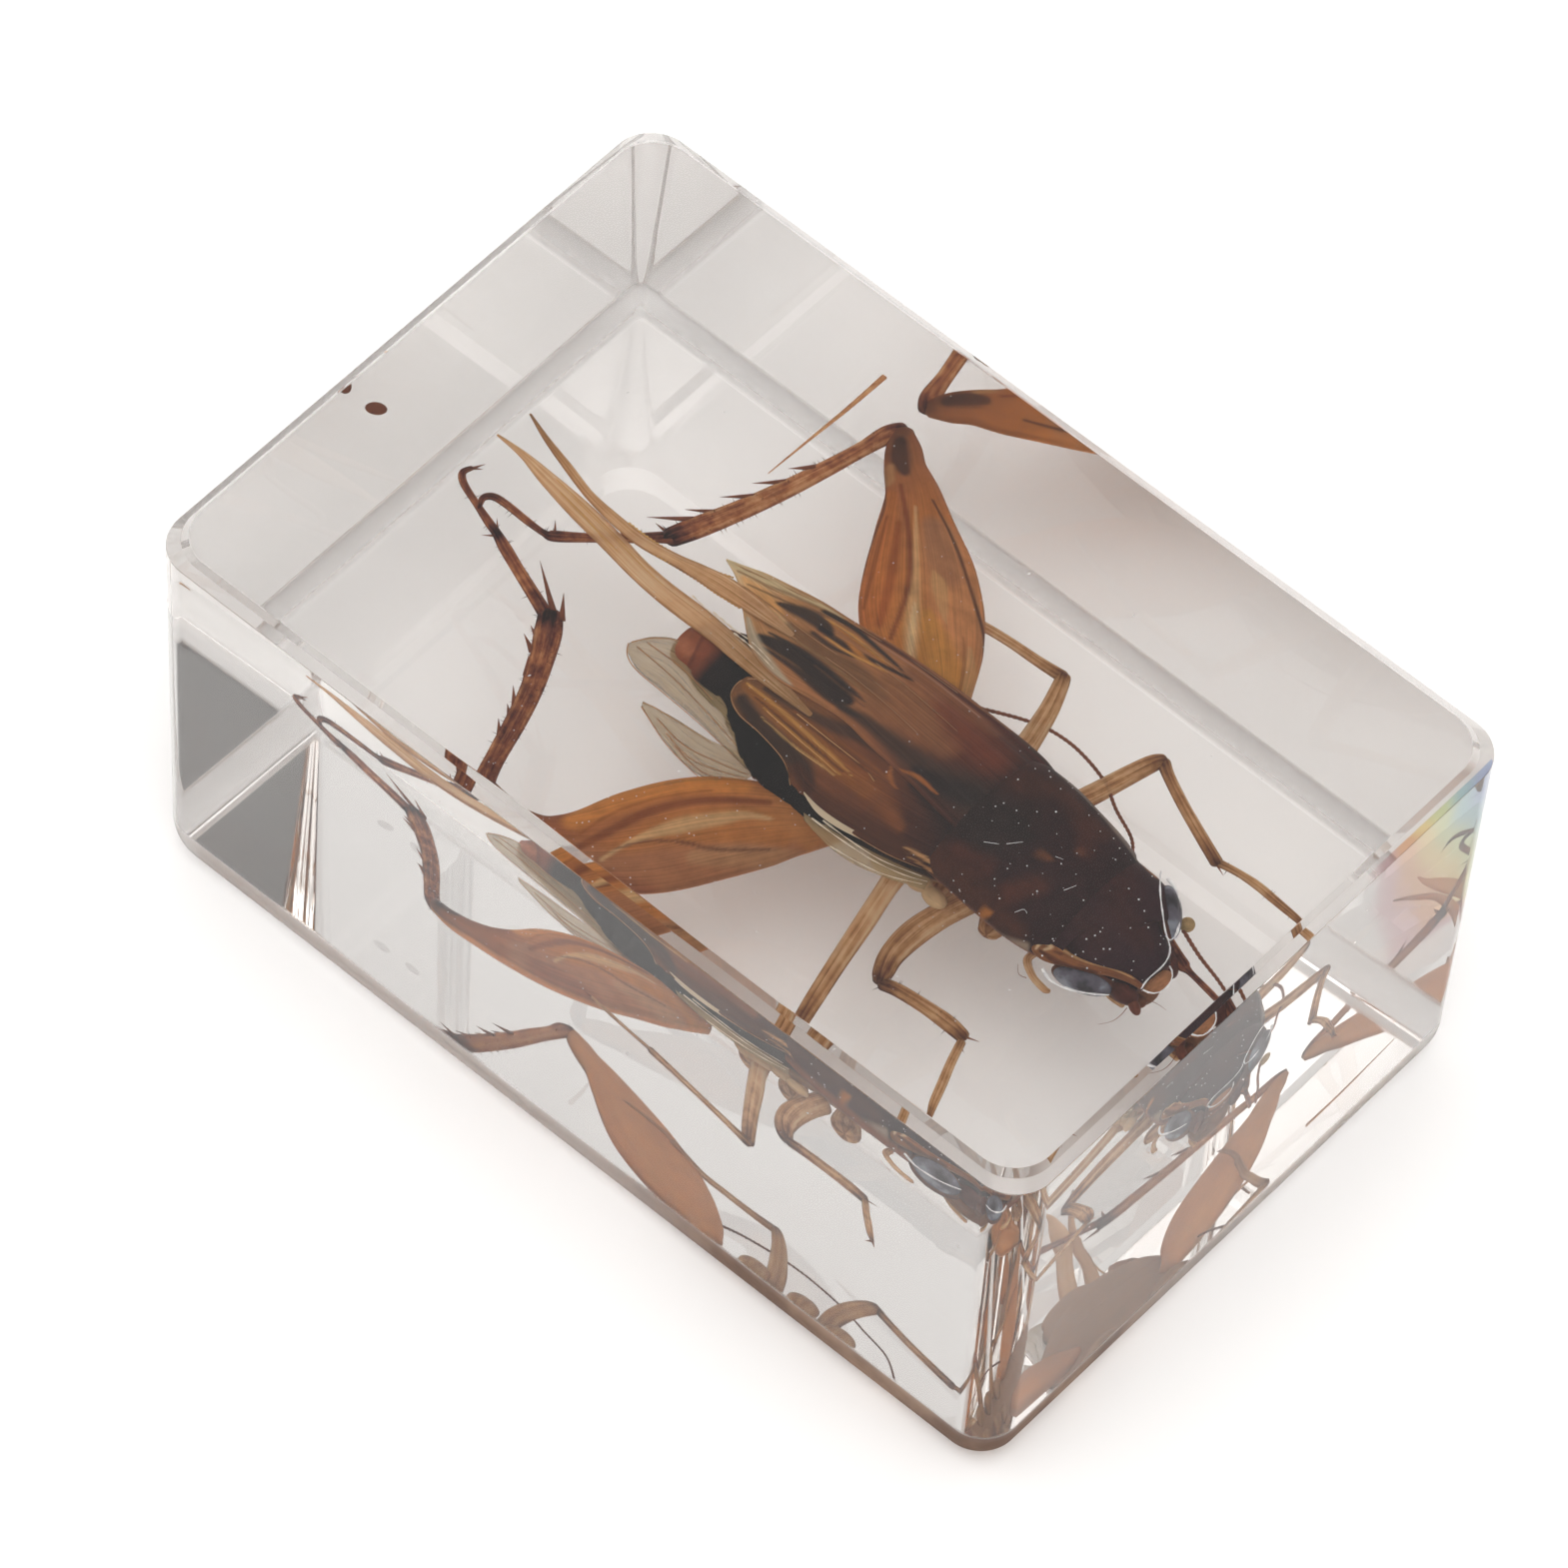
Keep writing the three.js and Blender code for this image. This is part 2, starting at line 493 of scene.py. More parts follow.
absorption = add_node(tree, "ShaderNodeVolumeAbsorption", values={"Color": linear("#f1e6da"), "Density": 6.0})
tree.links.new(absorption.outputs[0], tree.nodes["Material Output"].inputs["Volume"])
where = add_node(tree, "ShaderNodeTexCoord").outputs["Object"]
place = add_node(tree, "ShaderNodeSeparateXYZ", links={"Vector": where})
level = add_node(tree, "ShaderNodeMapRange", values={"From Min": FOOT_FLAT * MM, "From Max": WALL_START * MM},
                 links={"Value": place.outputs["Z"]})
satin = add_node(tree, "ShaderNodeValToRGB", links={"Fac": level.outputs["Result"]})
while len(satin.color_ramp.elements) < len(SATIN_STEPS):
    satin.color_ramp.elements.new(0.5)
for element, (step, value) in zip(satin.color_ramp.elements, SATIN_STEPS):
    element.position, element.color = step, (value, value, value, 1)
tree.links.new(satin.outputs["Color"], shader.inputs["Roughness"])
brown_band = add_node(tree, "ShaderNodeMapRange", values={"From Min": FOOT_FLAT * MM, "From Max": 0.1 * MM},
                 links={"Value": place.outputs["Z"]}).outputs["Result"]
for axis, bare, full in BROWN_BAND_REACH:
    share = add_node(tree, "ShaderNodeMapRange", {"interpolation_type": "SMOOTHSTEP"},
                     {"From Min": bare * MM, "From Max": full * MM}, {"Value": place.outputs[axis]})
    brown_band = add_node(tree, "ShaderNodeMath", {"operation": "MULTIPLY"},
                     links={0: brown_band, 1: share.outputs["Result"]}).outputs[0]
patches = add_node(tree, "ShaderNodeTexNoise", values={"Scale": 1 / (3 * MM), "Detail": 4.0},
                   links={"Vector": where})
band_colour = colour_steps(tree, patches.outputs["Fac"], [(0.35, "#70503c"), (0.65, "#a8876e")])
band_tinted = add_node(tree, "ShaderNodeMix", {"data_type": "RGBA"}, {6: (1, 1, 1, 1)}, {0: brown_band, 7: band_colour})
tree.links.new(band_tinted.outputs[2], shader.inputs["Base Color"])
cleared = add_node(tree, "ShaderNodeMath", {"operation": "MULTIPLY_ADD"}, {1: -0.5, 2: 1.0}, {0: brown_band})
tree.links.new(cleared.outputs[0], shader.inputs["Transmission Weight"])
print("resin finish:", resin.name)

# %% Block levels
WALL_LEAN = 1.3
CORNER_RADIUS = 1.8
FOOT_CORNER_RADII = (1.0, 0.35, 1.4, 1.6)  # the mould wore unevenly: the far left corner stayed sharp
FOOT_INSET, FOOT_RISE = 0.8, 2.2  # the foot is rounded as a quarter of an ellipse
RIM_POINTS = [(0.0, -0.52), (0.4, -0.27), (0.62, 0.0)]  # inset and drop below the top of each rim crease
CREASE_RADIUS = 0.05
FOOT_STEPS, CREASE_STEPS = 20, 5
TOP_FACE_INSET = 8.0  # any point well inside the top face, to give its last crease a direction


def round_corner(before, corner, after):
    """Rounds one crease of the profile. Gives inset, height and slope angle of the surface at each point."""
    into, out = (corner - before).normalized(), (after - corner).normalized()
    angle_in, angle_out = (math.degrees(math.atan2(d.x, d.y)) for d in (into, out))
    reach = CREASE_RADIUS * math.tan(math.radians(abs(angle_out - angle_in)) / 2)
    side = 1 if angle_out > angle_in else -1
    start = corner - into * reach
    centre = start + Vector((into.y, -into.x)) * CREASE_RADIUS * side
    points = []
    for i in range(CREASE_STEPS + 1):
        slope = angle_in + (angle_out - angle_in) * i / CREASE_STEPS
        facing = Vector((-math.cos(math.radians(slope)), math.sin(math.radians(slope))))
        place = centre + facing * CREASE_RADIUS * side
        points.append((place.x, place.y, slope))
    return points


def block_profile():
    """Rows of inset, height and slope angle, from the foot up. The wall leans, so its foot stands in."""
    lean = math.radians(WALL_LEAN)
    wall_top = Vector((0, BLOCK_HEIGHT + RIM_POINTS[0][1]))
    foot_inset = math.tan(lean) * (wall_top.y - FOOT_RISE)
    profile = []
    for i in range(FOOT_STEPS + 1):
        turn = math.radians(-90 + (90 - WALL_LEAN) * i / FOOT_STEPS)
        slope = math.degrees(math.atan2(math.sin(turn) / FOOT_RISE, math.cos(turn) / FOOT_INSET))
        inset = foot_inset + FOOT_INSET * (1 - math.cos(turn))
        profile.append((inset, FOOT_RISE * (1 + math.sin(turn)), min(slope, -WALL_LEAN)))
    rim = [Vector((inset, BLOCK_HEIGHT + drop)) for inset, drop in RIM_POINTS]
    corners = [Vector((foot_inset, FOOT_RISE))] + rim + [Vector((TOP_FACE_INSET, BLOCK_HEIGHT))]
    for before, corner, after in zip(corners, corners[1:], corners[2:]):
        profile += round_corner(before, corner, after)
    return profile


profile = block_profile()
print("profile levels:", len(profile), "foot flat starts", round(profile[0][0], 2), "mm in")

# %% Make the block
CORNER_STEPS = 24
vertices, normals = [], []
for inset, height, slope in profile:
    for quarter, (sx, sy) in enumerate(((1, 1), (-1, 1), (-1, -1), (1, -1))):
        foot_radius = FOOT_CORNER_RADII[quarter]
        radius = foot_radius + (CORNER_RADIUS - foot_radius) * min(1.0, height / BLOCK_HEIGHT)
        centre_x = sx * (BLOCK_LENGTH / 2 - inset - radius)
        centre_y = sy * (BLOCK_WIDTH / 2 - inset - radius)
        for j in range(CORNER_STEPS + 1):
            turn = math.radians(90 * (quarter + j / CORNER_STEPS))
            level = math.cos(math.radians(slope))
            vertices.append((centre_x + radius * math.cos(turn), centre_y + radius * math.sin(turn), height))
            normals.append((math.cos(turn) * level, math.sin(turn) * level, math.sin(math.radians(slope))))
around, levels = 4 * (CORNER_STEPS + 1), len(profile)
faces = [(i * around + j, i * around + (j + 1) % around, (i + 1) * around + (j + 1) % around,
          (i + 1) * around + j)
         for i in range(levels - 1) for j in range(around)]
faces += [tuple(reversed(range(around))), tuple((levels - 1) * around + j for j in range(around))]
block = new_object("cast_block", vertices, faces, resin)
block.data.normals_split_custom_set_from_vertices(normals)
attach(block, "root")
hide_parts("resin_block")
print("block faces:", len(faces))

# %% [markdown]
# ## Painting from above
# A cricket's markings are long streaks and patches that follow the body. They could be an image, but an image
# has to be unwrapped and has one fixed size. Here each mark is a stroke: a colour, and a path with a half
# width at each point, all in millimetres. The strokes are laid over a ground colour on the points of a dense
# mesh, one after the other, as with a brush.

# %% Strokes
def paint(piece, ground, strokes=(), under=None):
    """ground: one hex, or (x, hex) pairs along the body. under: a lighter hex for the side that looks down,
    painted light from the glowing floor below. strokes: (hex, strength, softness, [(x, y, half width)])."""
    count = len(piece.data.vertices)
    points = np.empty(count * 3)
    piece.data.vertices.foreach_get("co", points)
    points = points.reshape(-1, 3)[:, :2] / MM
    stops = [(0.0, ground)] if isinstance(ground, str) else ground
    values = np.array([linear(colour)[:3] for _, colour in stops])
    colours = np.stack([np.interp(points[:, 0], [x for x, _ in stops], values[:, c]) for c in range(3)],
                       axis=1)
    for colour, strength, softness, path in strokes:
        path = fill_in(path, 4) if len(path) > 2 else list(path) * (3 - len(path))
        cover = np.zeros(count)
        for (x, y, width), (next_x, next_y, next_width) in zip(path, path[1:]):
            way = np.array((next_x - x, next_y - y))
            t = np.clip(((points - (x, y)) @ way) / max(way @ way, 1e-9), 0, 1)
            gap = (np.linalg.norm(points - (x, y) - t[:, None] * way, axis=1)
                   / np.maximum(0.01, width + (next_width - width) * t))
            inside = np.clip((1 + softness - gap) / (2 * softness), 0, 1)
            cover = np.maximum(cover, inside * inside * (3 - 2 * inside))
        colours += (np.array(linear(colour)[:3]) - colours) * (strength * cover)[:, None]
    # Painted light: the side that looks down gets the lighter under colour, as if lit by the floor below.
    if under:
        facing = np.empty(count * 3)
        piece.data.vertices.foreach_get("normal", facing)
        down = np.clip(0.3 - facing.reshape(-1, 3)[:, 2] * 2.0, 0, 1)
        colours += (np.array(linear(under)[:3]) - colours) * down[:, None]
    layer = piece.data.color_attributes.new("paint", "FLOAT_COLOR", "POINT")
    layer.data.foreach_set("color", np.concatenate([colours, np.ones((count, 1))], axis=1).ravel())
    return piece


print("brush ready")

# %% [markdown]
# ## Finishes of the cricket
# A dried cricket is chitin, the stuff of shells: amber where it is thin, chestnut where it is thick and black
# where it is doubled over something dark. Resin has nearly the same index as chitin, so it takes the gloss
# away and light runs into the legs. So the shader has a low index and some transmission, and its colour
# comes from the mesh: a painted colour, or a tone from 0, pale, to 1, dark. The legs' glowing edges and dark
# cores are painted light, as bands of tone across each leg. Fine streaks along each piece and mottles across
# it are noise, laid over that.

# %% Chitin
def chitin(name, transmission, steps=None, streak=0.3, mottling=0.2, bands=None, alpha=1.0, along=4.0,
           across=26.0, mottle_mm=0.5):
    """Without steps the piece's own paint is the colour. along and across count the streaks on the piece."""
    material, tree, shader = new_material(name, {
        "Roughness": 0.45, "IOR": 1.12, "Transmission Weight": transmission, "Alpha": alpha})
    where = add_node(tree, "ShaderNodeUVMap", {"uv_map": "along_across"}).outputs["UV"]
    place = add_node(tree, "ShaderNodeTexCoord").outputs["Object"]
    stretched = add_node(tree, "ShaderNodeMapping", values={"Scale": (along, across, 1.0)},
                         links={"Vector": where})
    rough_noise = {"Detail": 5.0, "Roughness": 0.65}
    streaks = add_node(tree, "ShaderNodeTexNoise", values={"Scale": 1.0, **rough_noise},
                       links={"Vector": stretched.outputs[0]}).outputs["Fac"]
    mottles = add_node(tree, "ShaderNodeTexNoise",
                       values={"Scale": 1 / (mottle_mm * 2.5 * MM), **rough_noise},
                       links={"Vector": place}).outputs["Fac"]

    def added(total, source, slope, shift):
        shifted = add_node(tree, "ShaderNodeMath", {"operation": "MULTIPLY_ADD"}, {1: slope, 2: shift},
                           {0: source})
        return add_node(tree, "ShaderNodeMath", {"operation": "ADD"},
                        links={0: total, 1: shifted.outputs[0]}).outputs[0]

    if steps:
        total = add_node(tree, "ShaderNodeAttribute", {"attribute_name": "tone"}).outputs["Fac"]
        # bands add tone by the place across the piece: on legs and tails this is painted edge glow and shade.
        if bands:
            split = add_node(tree, "ShaderNodeSeparateXYZ", links={"Vector": where})
            curve = add_node(tree, "ShaderNodeFloatCurve", links={"Value": split.outputs["Y"]})
            points = curve.mapping.curves[0].points
            while len(points) < len(bands):
                points.new(0.5, 0.5)
            for point, (across_place, tone) in zip(points, bands):
                point.location = (across_place, tone + 0.5)
            curve.mapping.update()
            total = added(total, curve.outputs[0], 1.0, -0.5)
        total = added(added(total, streaks, 5 * streak, -2.5 * streak), mottles, 4 * mottling, -2 * mottling)
        colour = colour_steps(tree, total, steps, smooth=False)
    else:
        paint_colour = add_node(tree, "ShaderNodeVertexColor", {"layer_name": "paint"}).outputs["Color"]
        streaked = add_node(tree, "ShaderNodeMath", {"operation": "MULTIPLY_ADD"},
                            {1: 10 * streak, 2: 1 - 5 * streak}, {0: streaks})
        total = added(streaked.outputs[0], mottles, 6 * mottling, -3 * mottling)
        total = add_node(tree, "ShaderNodeMath", {"operation": "MAXIMUM"}, {1: 0.15}, {0: total}).outputs[0]
        colour = add_node(tree, "ShaderNodeHueSaturation",
                          links={"Color": paint_colour, "Value": total}).outputs[0]
    tree.links.new(colour, shader.inputs["Base Color"])
    bump = add_node(tree, "ShaderNodeBump", values={"Strength": 0.35, "Distance": 0.02 * MM},
                    links={"Height": mottles})
    tree.links.new(bump.outputs[0], shader.inputs["Normal"])
    return material


# Painted light across each leg: dark outlines at both sides, a pale glow just inside them, darker streaks
# between.
PAINTED_EDGE_GLOW = [(0.0, 0.12), (0.04, -0.02), (0.12, -0.2), (0.3, 0.06), (0.48, -0.06), (0.62, 0.1),
                 (0.84, -0.12), (0.95, -0.04), (1.0, 0.14)]
leg_chitin = chitin("amber hind leg chitin", 0.42, [(0.0, "#eab47e"), (0.3, "#c27c4c"), (0.52, "#955337"),
                                                    (0.75, "#633428"), (1.0, "#2e1b19")],
                    streak=0.2, mottling=0.34, bands=PAINTED_EDGE_GLOW, along=9.0, across=13.0, mottle_mm=0.28)
pale_chitin = chitin("straw front leg chitin", 0.45, [(0.0, "#f3d6ac"), (0.3, "#dcae7c"), (0.5, "#b78354"),
                                                      (0.75, "#7b4d36"), (1.0, "#3c251e")],
                     streak=0.26, mottling=0.2, bands=PAINTED_EDGE_GLOW, along=2.5, across=14.0, mottle_mm=0.3)
thigh_chitin = chitin("striped thigh chitin", 0.4, streak=0.15, mottling=0.14, along=3.5, across=52.0,
                      mottle_mm=0.3)
body_chitin = chitin("black abdomen chitin", 0.0, streak=0.08, mottling=0.1, along=30.0, across=8.0)
shield_chitin = chitin("chestnut shield chitin", 0.0, streak=0.06, mottling=0.16, along=5.0, across=14.0,
                       mottle_mm=0.25)
mouth_chitin = chitin("reddish mouthpart chitin", 0.3, streak=0.12, mottling=0.2, along=6.0, across=8.0,
                      mottle_mm=0.3)
dark_chitin = chitin("dark spine chitin", 0.25, [(0.0, "#8a4f35"), (0.5, "#4a2a20"), (1.0, "#271715")])
cricket_chitins = (leg_chitin, pale_chitin, thigh_chitin, body_chitin, shield_chitin, mouth_chitin,
                   dark_chitin)
print("chitins:", [material.name for material in cricket_chitins])

# %% Wing, eye and dust finishes
# Leathery forewing: fine veins run along it. Folded hindwing: dry straw, nearly paper. Spread hindwing: a
# film so thin that what is behind shows through. Eye: facets, drawn a few times too large so that they show.
# Air film: where the resin let go of the shell, bright and silvery; that shine is painted, as white with a
# faint glow. Dust and bubbles use it too.
wing_chitin = chitin("brown leathery forewing", 0.1, streak=0.17, mottling=0.08, along=2.6, across=60.0,
                     mottle_mm=0.25)
# Its bands darken both sides of each tail and leave the middle pale: painted shade, with faint stripes
# between.
straw_film = chitin("straw folded hindwing", 0.45, [(0.0, "#ffeccb"), (0.35, "#efc290"), (0.6, "#c8925c"),
                                                    (1.0, "#6b4730")],
                    streak=0.38, mottling=0.12, along=3.0, across=24.0,
                    bands=[(0.0, 0.18), (0.06, 0.1), (0.2, -0.05), (0.38, 0.06), (0.5, -0.05), (0.62, 0.05),
                           (0.8, -0.05), (0.94, 0.1), (1.0, 0.18)])
clear_film = chitin("clear hindwing film", 0.2, [(0.0, "#c9b086"), (0.4, "#ad9164"), (0.75, "#8f6f45"),
                                                 (1.0, "#6b4f33")],
                    streak=0.35, mottling=0.1, along=2.0, across=22.0, alpha=0.5)
vein_chitin = chitin("wing vein chitin", 0.3, [(0.0, "#c08e60"), (0.5, "#8f6342"), (1.0, "#553626")])
cream_film = chitin("cream hindwing fibre", 0.3, [(0.0, "#fdf1dc"), (0.5, "#e8d4b4"), (1.0, "#b99a72")],
                    streak=0.2)
gold_vein = chitin("golden vein chitin", 0.2, [(0.0, "#e8b870"), (0.5, "#c98f4a"), (1.0, "#9a6430")])


def clouded(tree, shader, size_mm, detail, steps):
    """Soft clouds of a few colours, size_mm across, as the base colour."""
    where = add_node(tree, "ShaderNodeTexCoord").outputs["Object"]
    clouds = add_node(tree, "ShaderNodeTexNoise", values={"Scale": 1 / (size_mm * MM), "Detail": detail},
                      links={"Vector": where})
    tree.links.new(colour_steps(tree, clouds.outputs["Fac"], steps), shader.inputs["Base Color"])
    return where


eye_lens, tree, shader = new_material("dark faceted eye", {"Roughness": 0.25, "IOR": 1.2})
where = clouded(tree, shader, 1.2, 3.0, [(0.3, "#302d33"), (0.5, "#5c5863"), (0.68, "#9095a0")])
facets = add_node(tree, "ShaderNodeTexVoronoi", {"feature": "DISTANCE_TO_EDGE"}, {"Scale": 1 / (0.12 * MM)},
                  {"Vector": where})
bump = add_node(tree, "ShaderNodeBump", values={"Strength": 0.6, "Distance": 0.02 * MM},
                links={"Height": facets.outputs["Distance"]})
tree.links.new(bump.outputs[0], shader.inputs["Normal"])
# Painted shine: a white base and a faint emission stand in for the mirror-like reflection of the air film.
silver_shine_and_dust, tree, shader = new_material("white dust and painted silver shine", {
    "Roughness": 0.35, "IOR": 1.1, "Emission Color": linear("#ffffff"), "Emission Strength": 0.05})
clouded(tree, shader, 0.4, 2.0, [(0.3, "#d9d6da"), (0.6, "#ffffff")])
print("wing, eye and dust finishes ready")

# %% [markdown]
# ## Legs
# Six legs lie spread in the first layer of resin, about 8 mm up. Each is a chain: a thigh that swells, a
# thin shin and a slim jointed foot. Each link is one tube with its own widths. The jumping thighs have a
# herringbone of muscle inside that shows as stripes, so they are painted.

# %% Hind thighs
def riding(*pieces):
    for piece in pieces:
        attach(piece, "root")


right_thigh = tube("right_hind_thigh", [
    (-7.3, 13.25, 8.6, 0.45, 0.4, 0.62), (-6.8, 12.7, 8.6, 0.72, 0.5, 0.42),
    (-6.1, 12.0, 8.6, 0.86, 0.6, 0.15), (-5.0, 11.2, 8.6, 1.15, 0.75, 0.12),
    (-3.8, 10.0, 8.6, 1.65, 0.95, 0.14), (-2.4, 8.6, 8.7, 2.2, 1.1, 0.12), (-0.9, 7.0, 8.8, 2.45, 1.15, 0.08),
    (0.7, 5.6, 8.9, 2.1, 1.1, 0.05), (2.0, 4.5, 8.9, 1.4, 0.95, 0.1),
    (2.8, 3.6, 9.0, 0.8, 0.7, 0.2)], thigh_chitin, sides=160, steps=14)
# The bright orange of the thighs is partly their own colour and partly painted glow of floor light through
# thin chitin.
RED_BROWN, PALE_STRIPE = "#7a3a1e", "#d8b47c"
riding(paint(right_thigh, [(-7.5, "#8a5233"), (-5.5, "#a96636"), (-2.5, "#c47a38"), (1.0, "#cc883c")], [
    ("#c98a58", 0.9, 0.5, [(-2.9, 10.3, 0.7), (-1.6, 9.2, 1.1), (0.1, 8.0, 1.2), (1.6, 6.9, 0.9)]),
    ("#96694a", 0.7, 0.6, [(-3.4, 10.4, 0.4), (-2.2, 9.5, 0.6), (-1.2, 8.9, 0.5)]),
    ("#cb7630", 0.8, 0.6, [(-5.6, 10.4, 0.3), (-4.0, 7.9, 0.7), (-2.4, 5.6, 0.7)]),
    ("#93461a", 0.7, 0.5, [(-4.4, 9.6, 0.12), (-3.0, 7.6, 0.2), (-1.7, 5.4, 0.15)]),
    ("#74320f", 0.6, 0.5, [(-5.0, 9.6, 0.06), (-3.7, 7.3, 0.1), (-2.7, 5.6, 0.06)]),
    ("#c98f3e", 0.85, 0.6, [(-0.6, 6.9, 0.25), (0.4, 6.2, 0.55), (1.5, 5.4, 0.8), (2.4, 4.9, 0.6)]),
    (PALE_STRIPE, 0.75, 0.5, [(-4.4, 10.6, 0.06), (-2.9, 8.9, 0.12), (-1.6, 7.3, 0.24), (-0.6, 6.0, 0.3),
                              (0.3, 4.9, 0.24)]),
    ("#e6cf9a", 0.8, 0.5, [(-1.3, 7.0, 0.06), (-0.5, 5.9, 0.14), (0.2, 5.0, 0.1)]),
    ("#c99b63", 0.9, 0.35, [(-1.7, 8.6, 0.1), (-1.2, 8.3, 0.3), (-0.5, 7.7, 0.22), (0.2, 7.1, 0.04)]),
    ("#c79c66", 0.8, 0.4, [(1.6, 6.9, 0.1), (2.5, 5.9, 0.28), (3.1, 5.0, 0.22)]),
    ("#8f5c33", 0.7, 0.4, [(1.1, 7.1, 0.05), (2.0, 6.1, 0.08), (2.7, 5.0, 0.06)]),
    (RED_BROWN, 0.85, 0.6, [(-5.6, 11.1, 0.08), (-3.7, 9.4, 0.12), (-2.0, 7.4, 0.13), (-0.9, 5.1, 0.08)]),
    ("#4a2c20", 0.9, 0.6, [(-4.2, 11.4, 0.05), (-2.2, 10.4, 0.07), (0.2, 8.8, 0.08), (1.6, 7.8, 0.08),
                           (2.4, 6.8, 0.08), (3.3, 5.2, 0.07)]),
    ("#5a3322", 0.8, 0.6, [(-6.4, 11.1, 0.05), (-5.4, 9.9, 0.06), (-4.6, 8.2, 0.06), (-3.4, 6.0, 0.05)]),
    ("#33201c", 0.9, 0.5, [(-7.0, 12.7, 0.3), (-6.5, 12.1, 0.42), (-5.9, 11.7, 0.22)]),
    ("#b98a58", 0.7, 0.5, [(-6.5, 11.5, 0.18), (-6.1, 11.0, 0.22)])], under="#f0a868"))
left_thigh = tube("left_hind_thigh", [
    (-7.9, -10.35, 8.05, 0.5, 0.45, 0.62), (-7.0, -10.7, 8.2, 0.72, 0.55, 0.42),
    (-5.8, -10.95, 8.6, 0.86, 0.65, 0.18), (-4.4, -10.9, 9.1, 1.25, 0.85, 0.12),
    (-2.9, -10.1, 9.5, 1.9, 1.05, 0.14), (-1.5, -8.5, 9.7, 2.4, 1.15, 0.12),
    (-0.2, -6.4, 9.6, 2.4, 1.15, 0.08), (1.3, -4.5, 9.3, 1.9, 1.1, 0.05), (2.4, -3.4, 9.1, 1.25, 0.9, 0.1),
    (3.2, -2.6, 9.0, 0.8, 0.7, 0.2)], thigh_chitin, sides=160, steps=14)
riding(paint(left_thigh, [(-8.0, "#7c452c"), (-4.5, "#9a5730"), (-1.5, "#b87236"), (2.0, "#bb7b40")], [
    ("#a56d48", 0.9, 0.4, [(-3.0, -11.6, 0.9), (-1.0, -10.5, 0.9), (0.1, -9.2, 0.9), (1.6, -7.3, 0.8),
                           (3.2, -5.2, 0.7)]),
    ("#8a4a30", 0.7, 0.6, [(-2.4, -11.7, 0.5), (-0.7, -11.0, 0.6), (0.4, -10.3, 0.4)]),
    ("#b2875c", 0.7, 0.5, [(0.6, -8.0, 0.3), (1.6, -6.8, 0.45), (2.8, -5.5, 0.4), (3.7, -4.6, 0.3)]),
    ("#e0903e", 0.85, 0.5, [(-3.9, -9.7, 0.5), (-3.3, -7.9, 0.65), (-2.2, -5.9, 0.6), (-0.5, -4.2, 0.5)]),
    ("#c98a3c", 0.6, 0.6, [(-4.2, -9.4, 0.12), (-3.7, -7.9, 0.16), (-2.7, -6.1, 0.14), (-1.3, -4.6, 0.1)]),
    ("#7c3f1d", 0.85, 0.6, [(-3.0, -10.9, 0.14), (-2.5, -9.3, 0.2), (-1.9, -7.4, 0.22), (-0.8, -5.7, 0.2),
                            (0.9, -4.1, 0.16)]),
    ("#93501f", 0.6, 0.5, [(-3.3, -10.2, 0.06), (-3.0, -8.6, 0.08), (-2.2, -6.9, 0.08), (-1.0, -5.2, 0.06)]),
    (PALE_STRIPE, 0.85, 0.45, [(-1.9, -10.5, 0.07), (-1.6, -9.3, 0.11), (-1.1, -8.1, 0.24),
                               (-0.6, -7.2, 0.36), (0.1, -6.1, 0.3), (0.7, -5.2, 0.18), (1.5, -4.6, 0.08)]),
    ("#b87434", 0.7, 0.5, [(-0.2, -7.6, 0.2), (0.8, -6.3, 0.35), (2.3, -4.9, 0.35)]),
    ("#5a3524", 0.8, 0.5, [(-1.8, -9.8, 0.05), (-1.1, -8.7, 0.07), (-0.1, -7.8, 0.07), (0.6, -7.4, 0.08),
                           (1.3, -6.8, 0.07), (2.3, -5.6, 0.05)]),
    ("#6b3f33", 0.8, 0.6, [(-1.0, -11.8, 0.1), (1.1, -9.3, 0.1), (1.9, -7.9, 0.09), (2.8, -6.7, 0.07)]),
    ("#33201c", 0.9, 0.5, [(-7.6, -10.5, 0.42), (-7.0, -10.7, 0.35)])], under="#e8a064"))
print("hind thighs:", len(right_thigh.data.vertices), "points each")

# %% Hind shins
riding(tube("right_hind_shin", [
    (-7.45, 13.35, 8.55, 0.38, 0.36, 0.75), (-7.75, 12.8, 8.5, 0.42, 0.36, 0.5),
    (-8.0, 11.6, 8.5, 0.34, 0.32, 0.3), (-8.4, 9.9, 8.5, 0.37, 0.34, 0.27),
    (-8.9, 7.9, 8.6, 0.42, 0.36, 0.27), (-9.5, 5.9, 8.7, 0.46, 0.38, 0.3), (-10.1, 4.2, 8.8, 0.5, 0.4, 0.42),
    (-10.5, 3.2, 8.8, 0.46, 0.38, 0.92)], leg_chitin, sides=28))
riding(tube("left_hind_shin", [
    (-8.0, -10.4, 8.0, 0.42, 0.4, 0.72), (-8.35, -9.8, 7.95, 0.42, 0.38, 0.62),
    (-8.7, -8.8, 8.0, 0.4, 0.36, 0.56), (-9.2, -7.2, 8.1, 0.44, 0.38, 0.56),
    (-9.75, -5.7, 8.2, 0.46, 0.38, 0.52), (-10.4, -4.4, 8.25, 0.5, 0.4, 0.5),
    (-11.0, -3.4, 8.3, 0.56, 0.42, 0.55), (-11.5, -2.7, 8.3, 0.5, 0.42, 1.0)], leg_chitin, sides=28))
print("hind shins made")

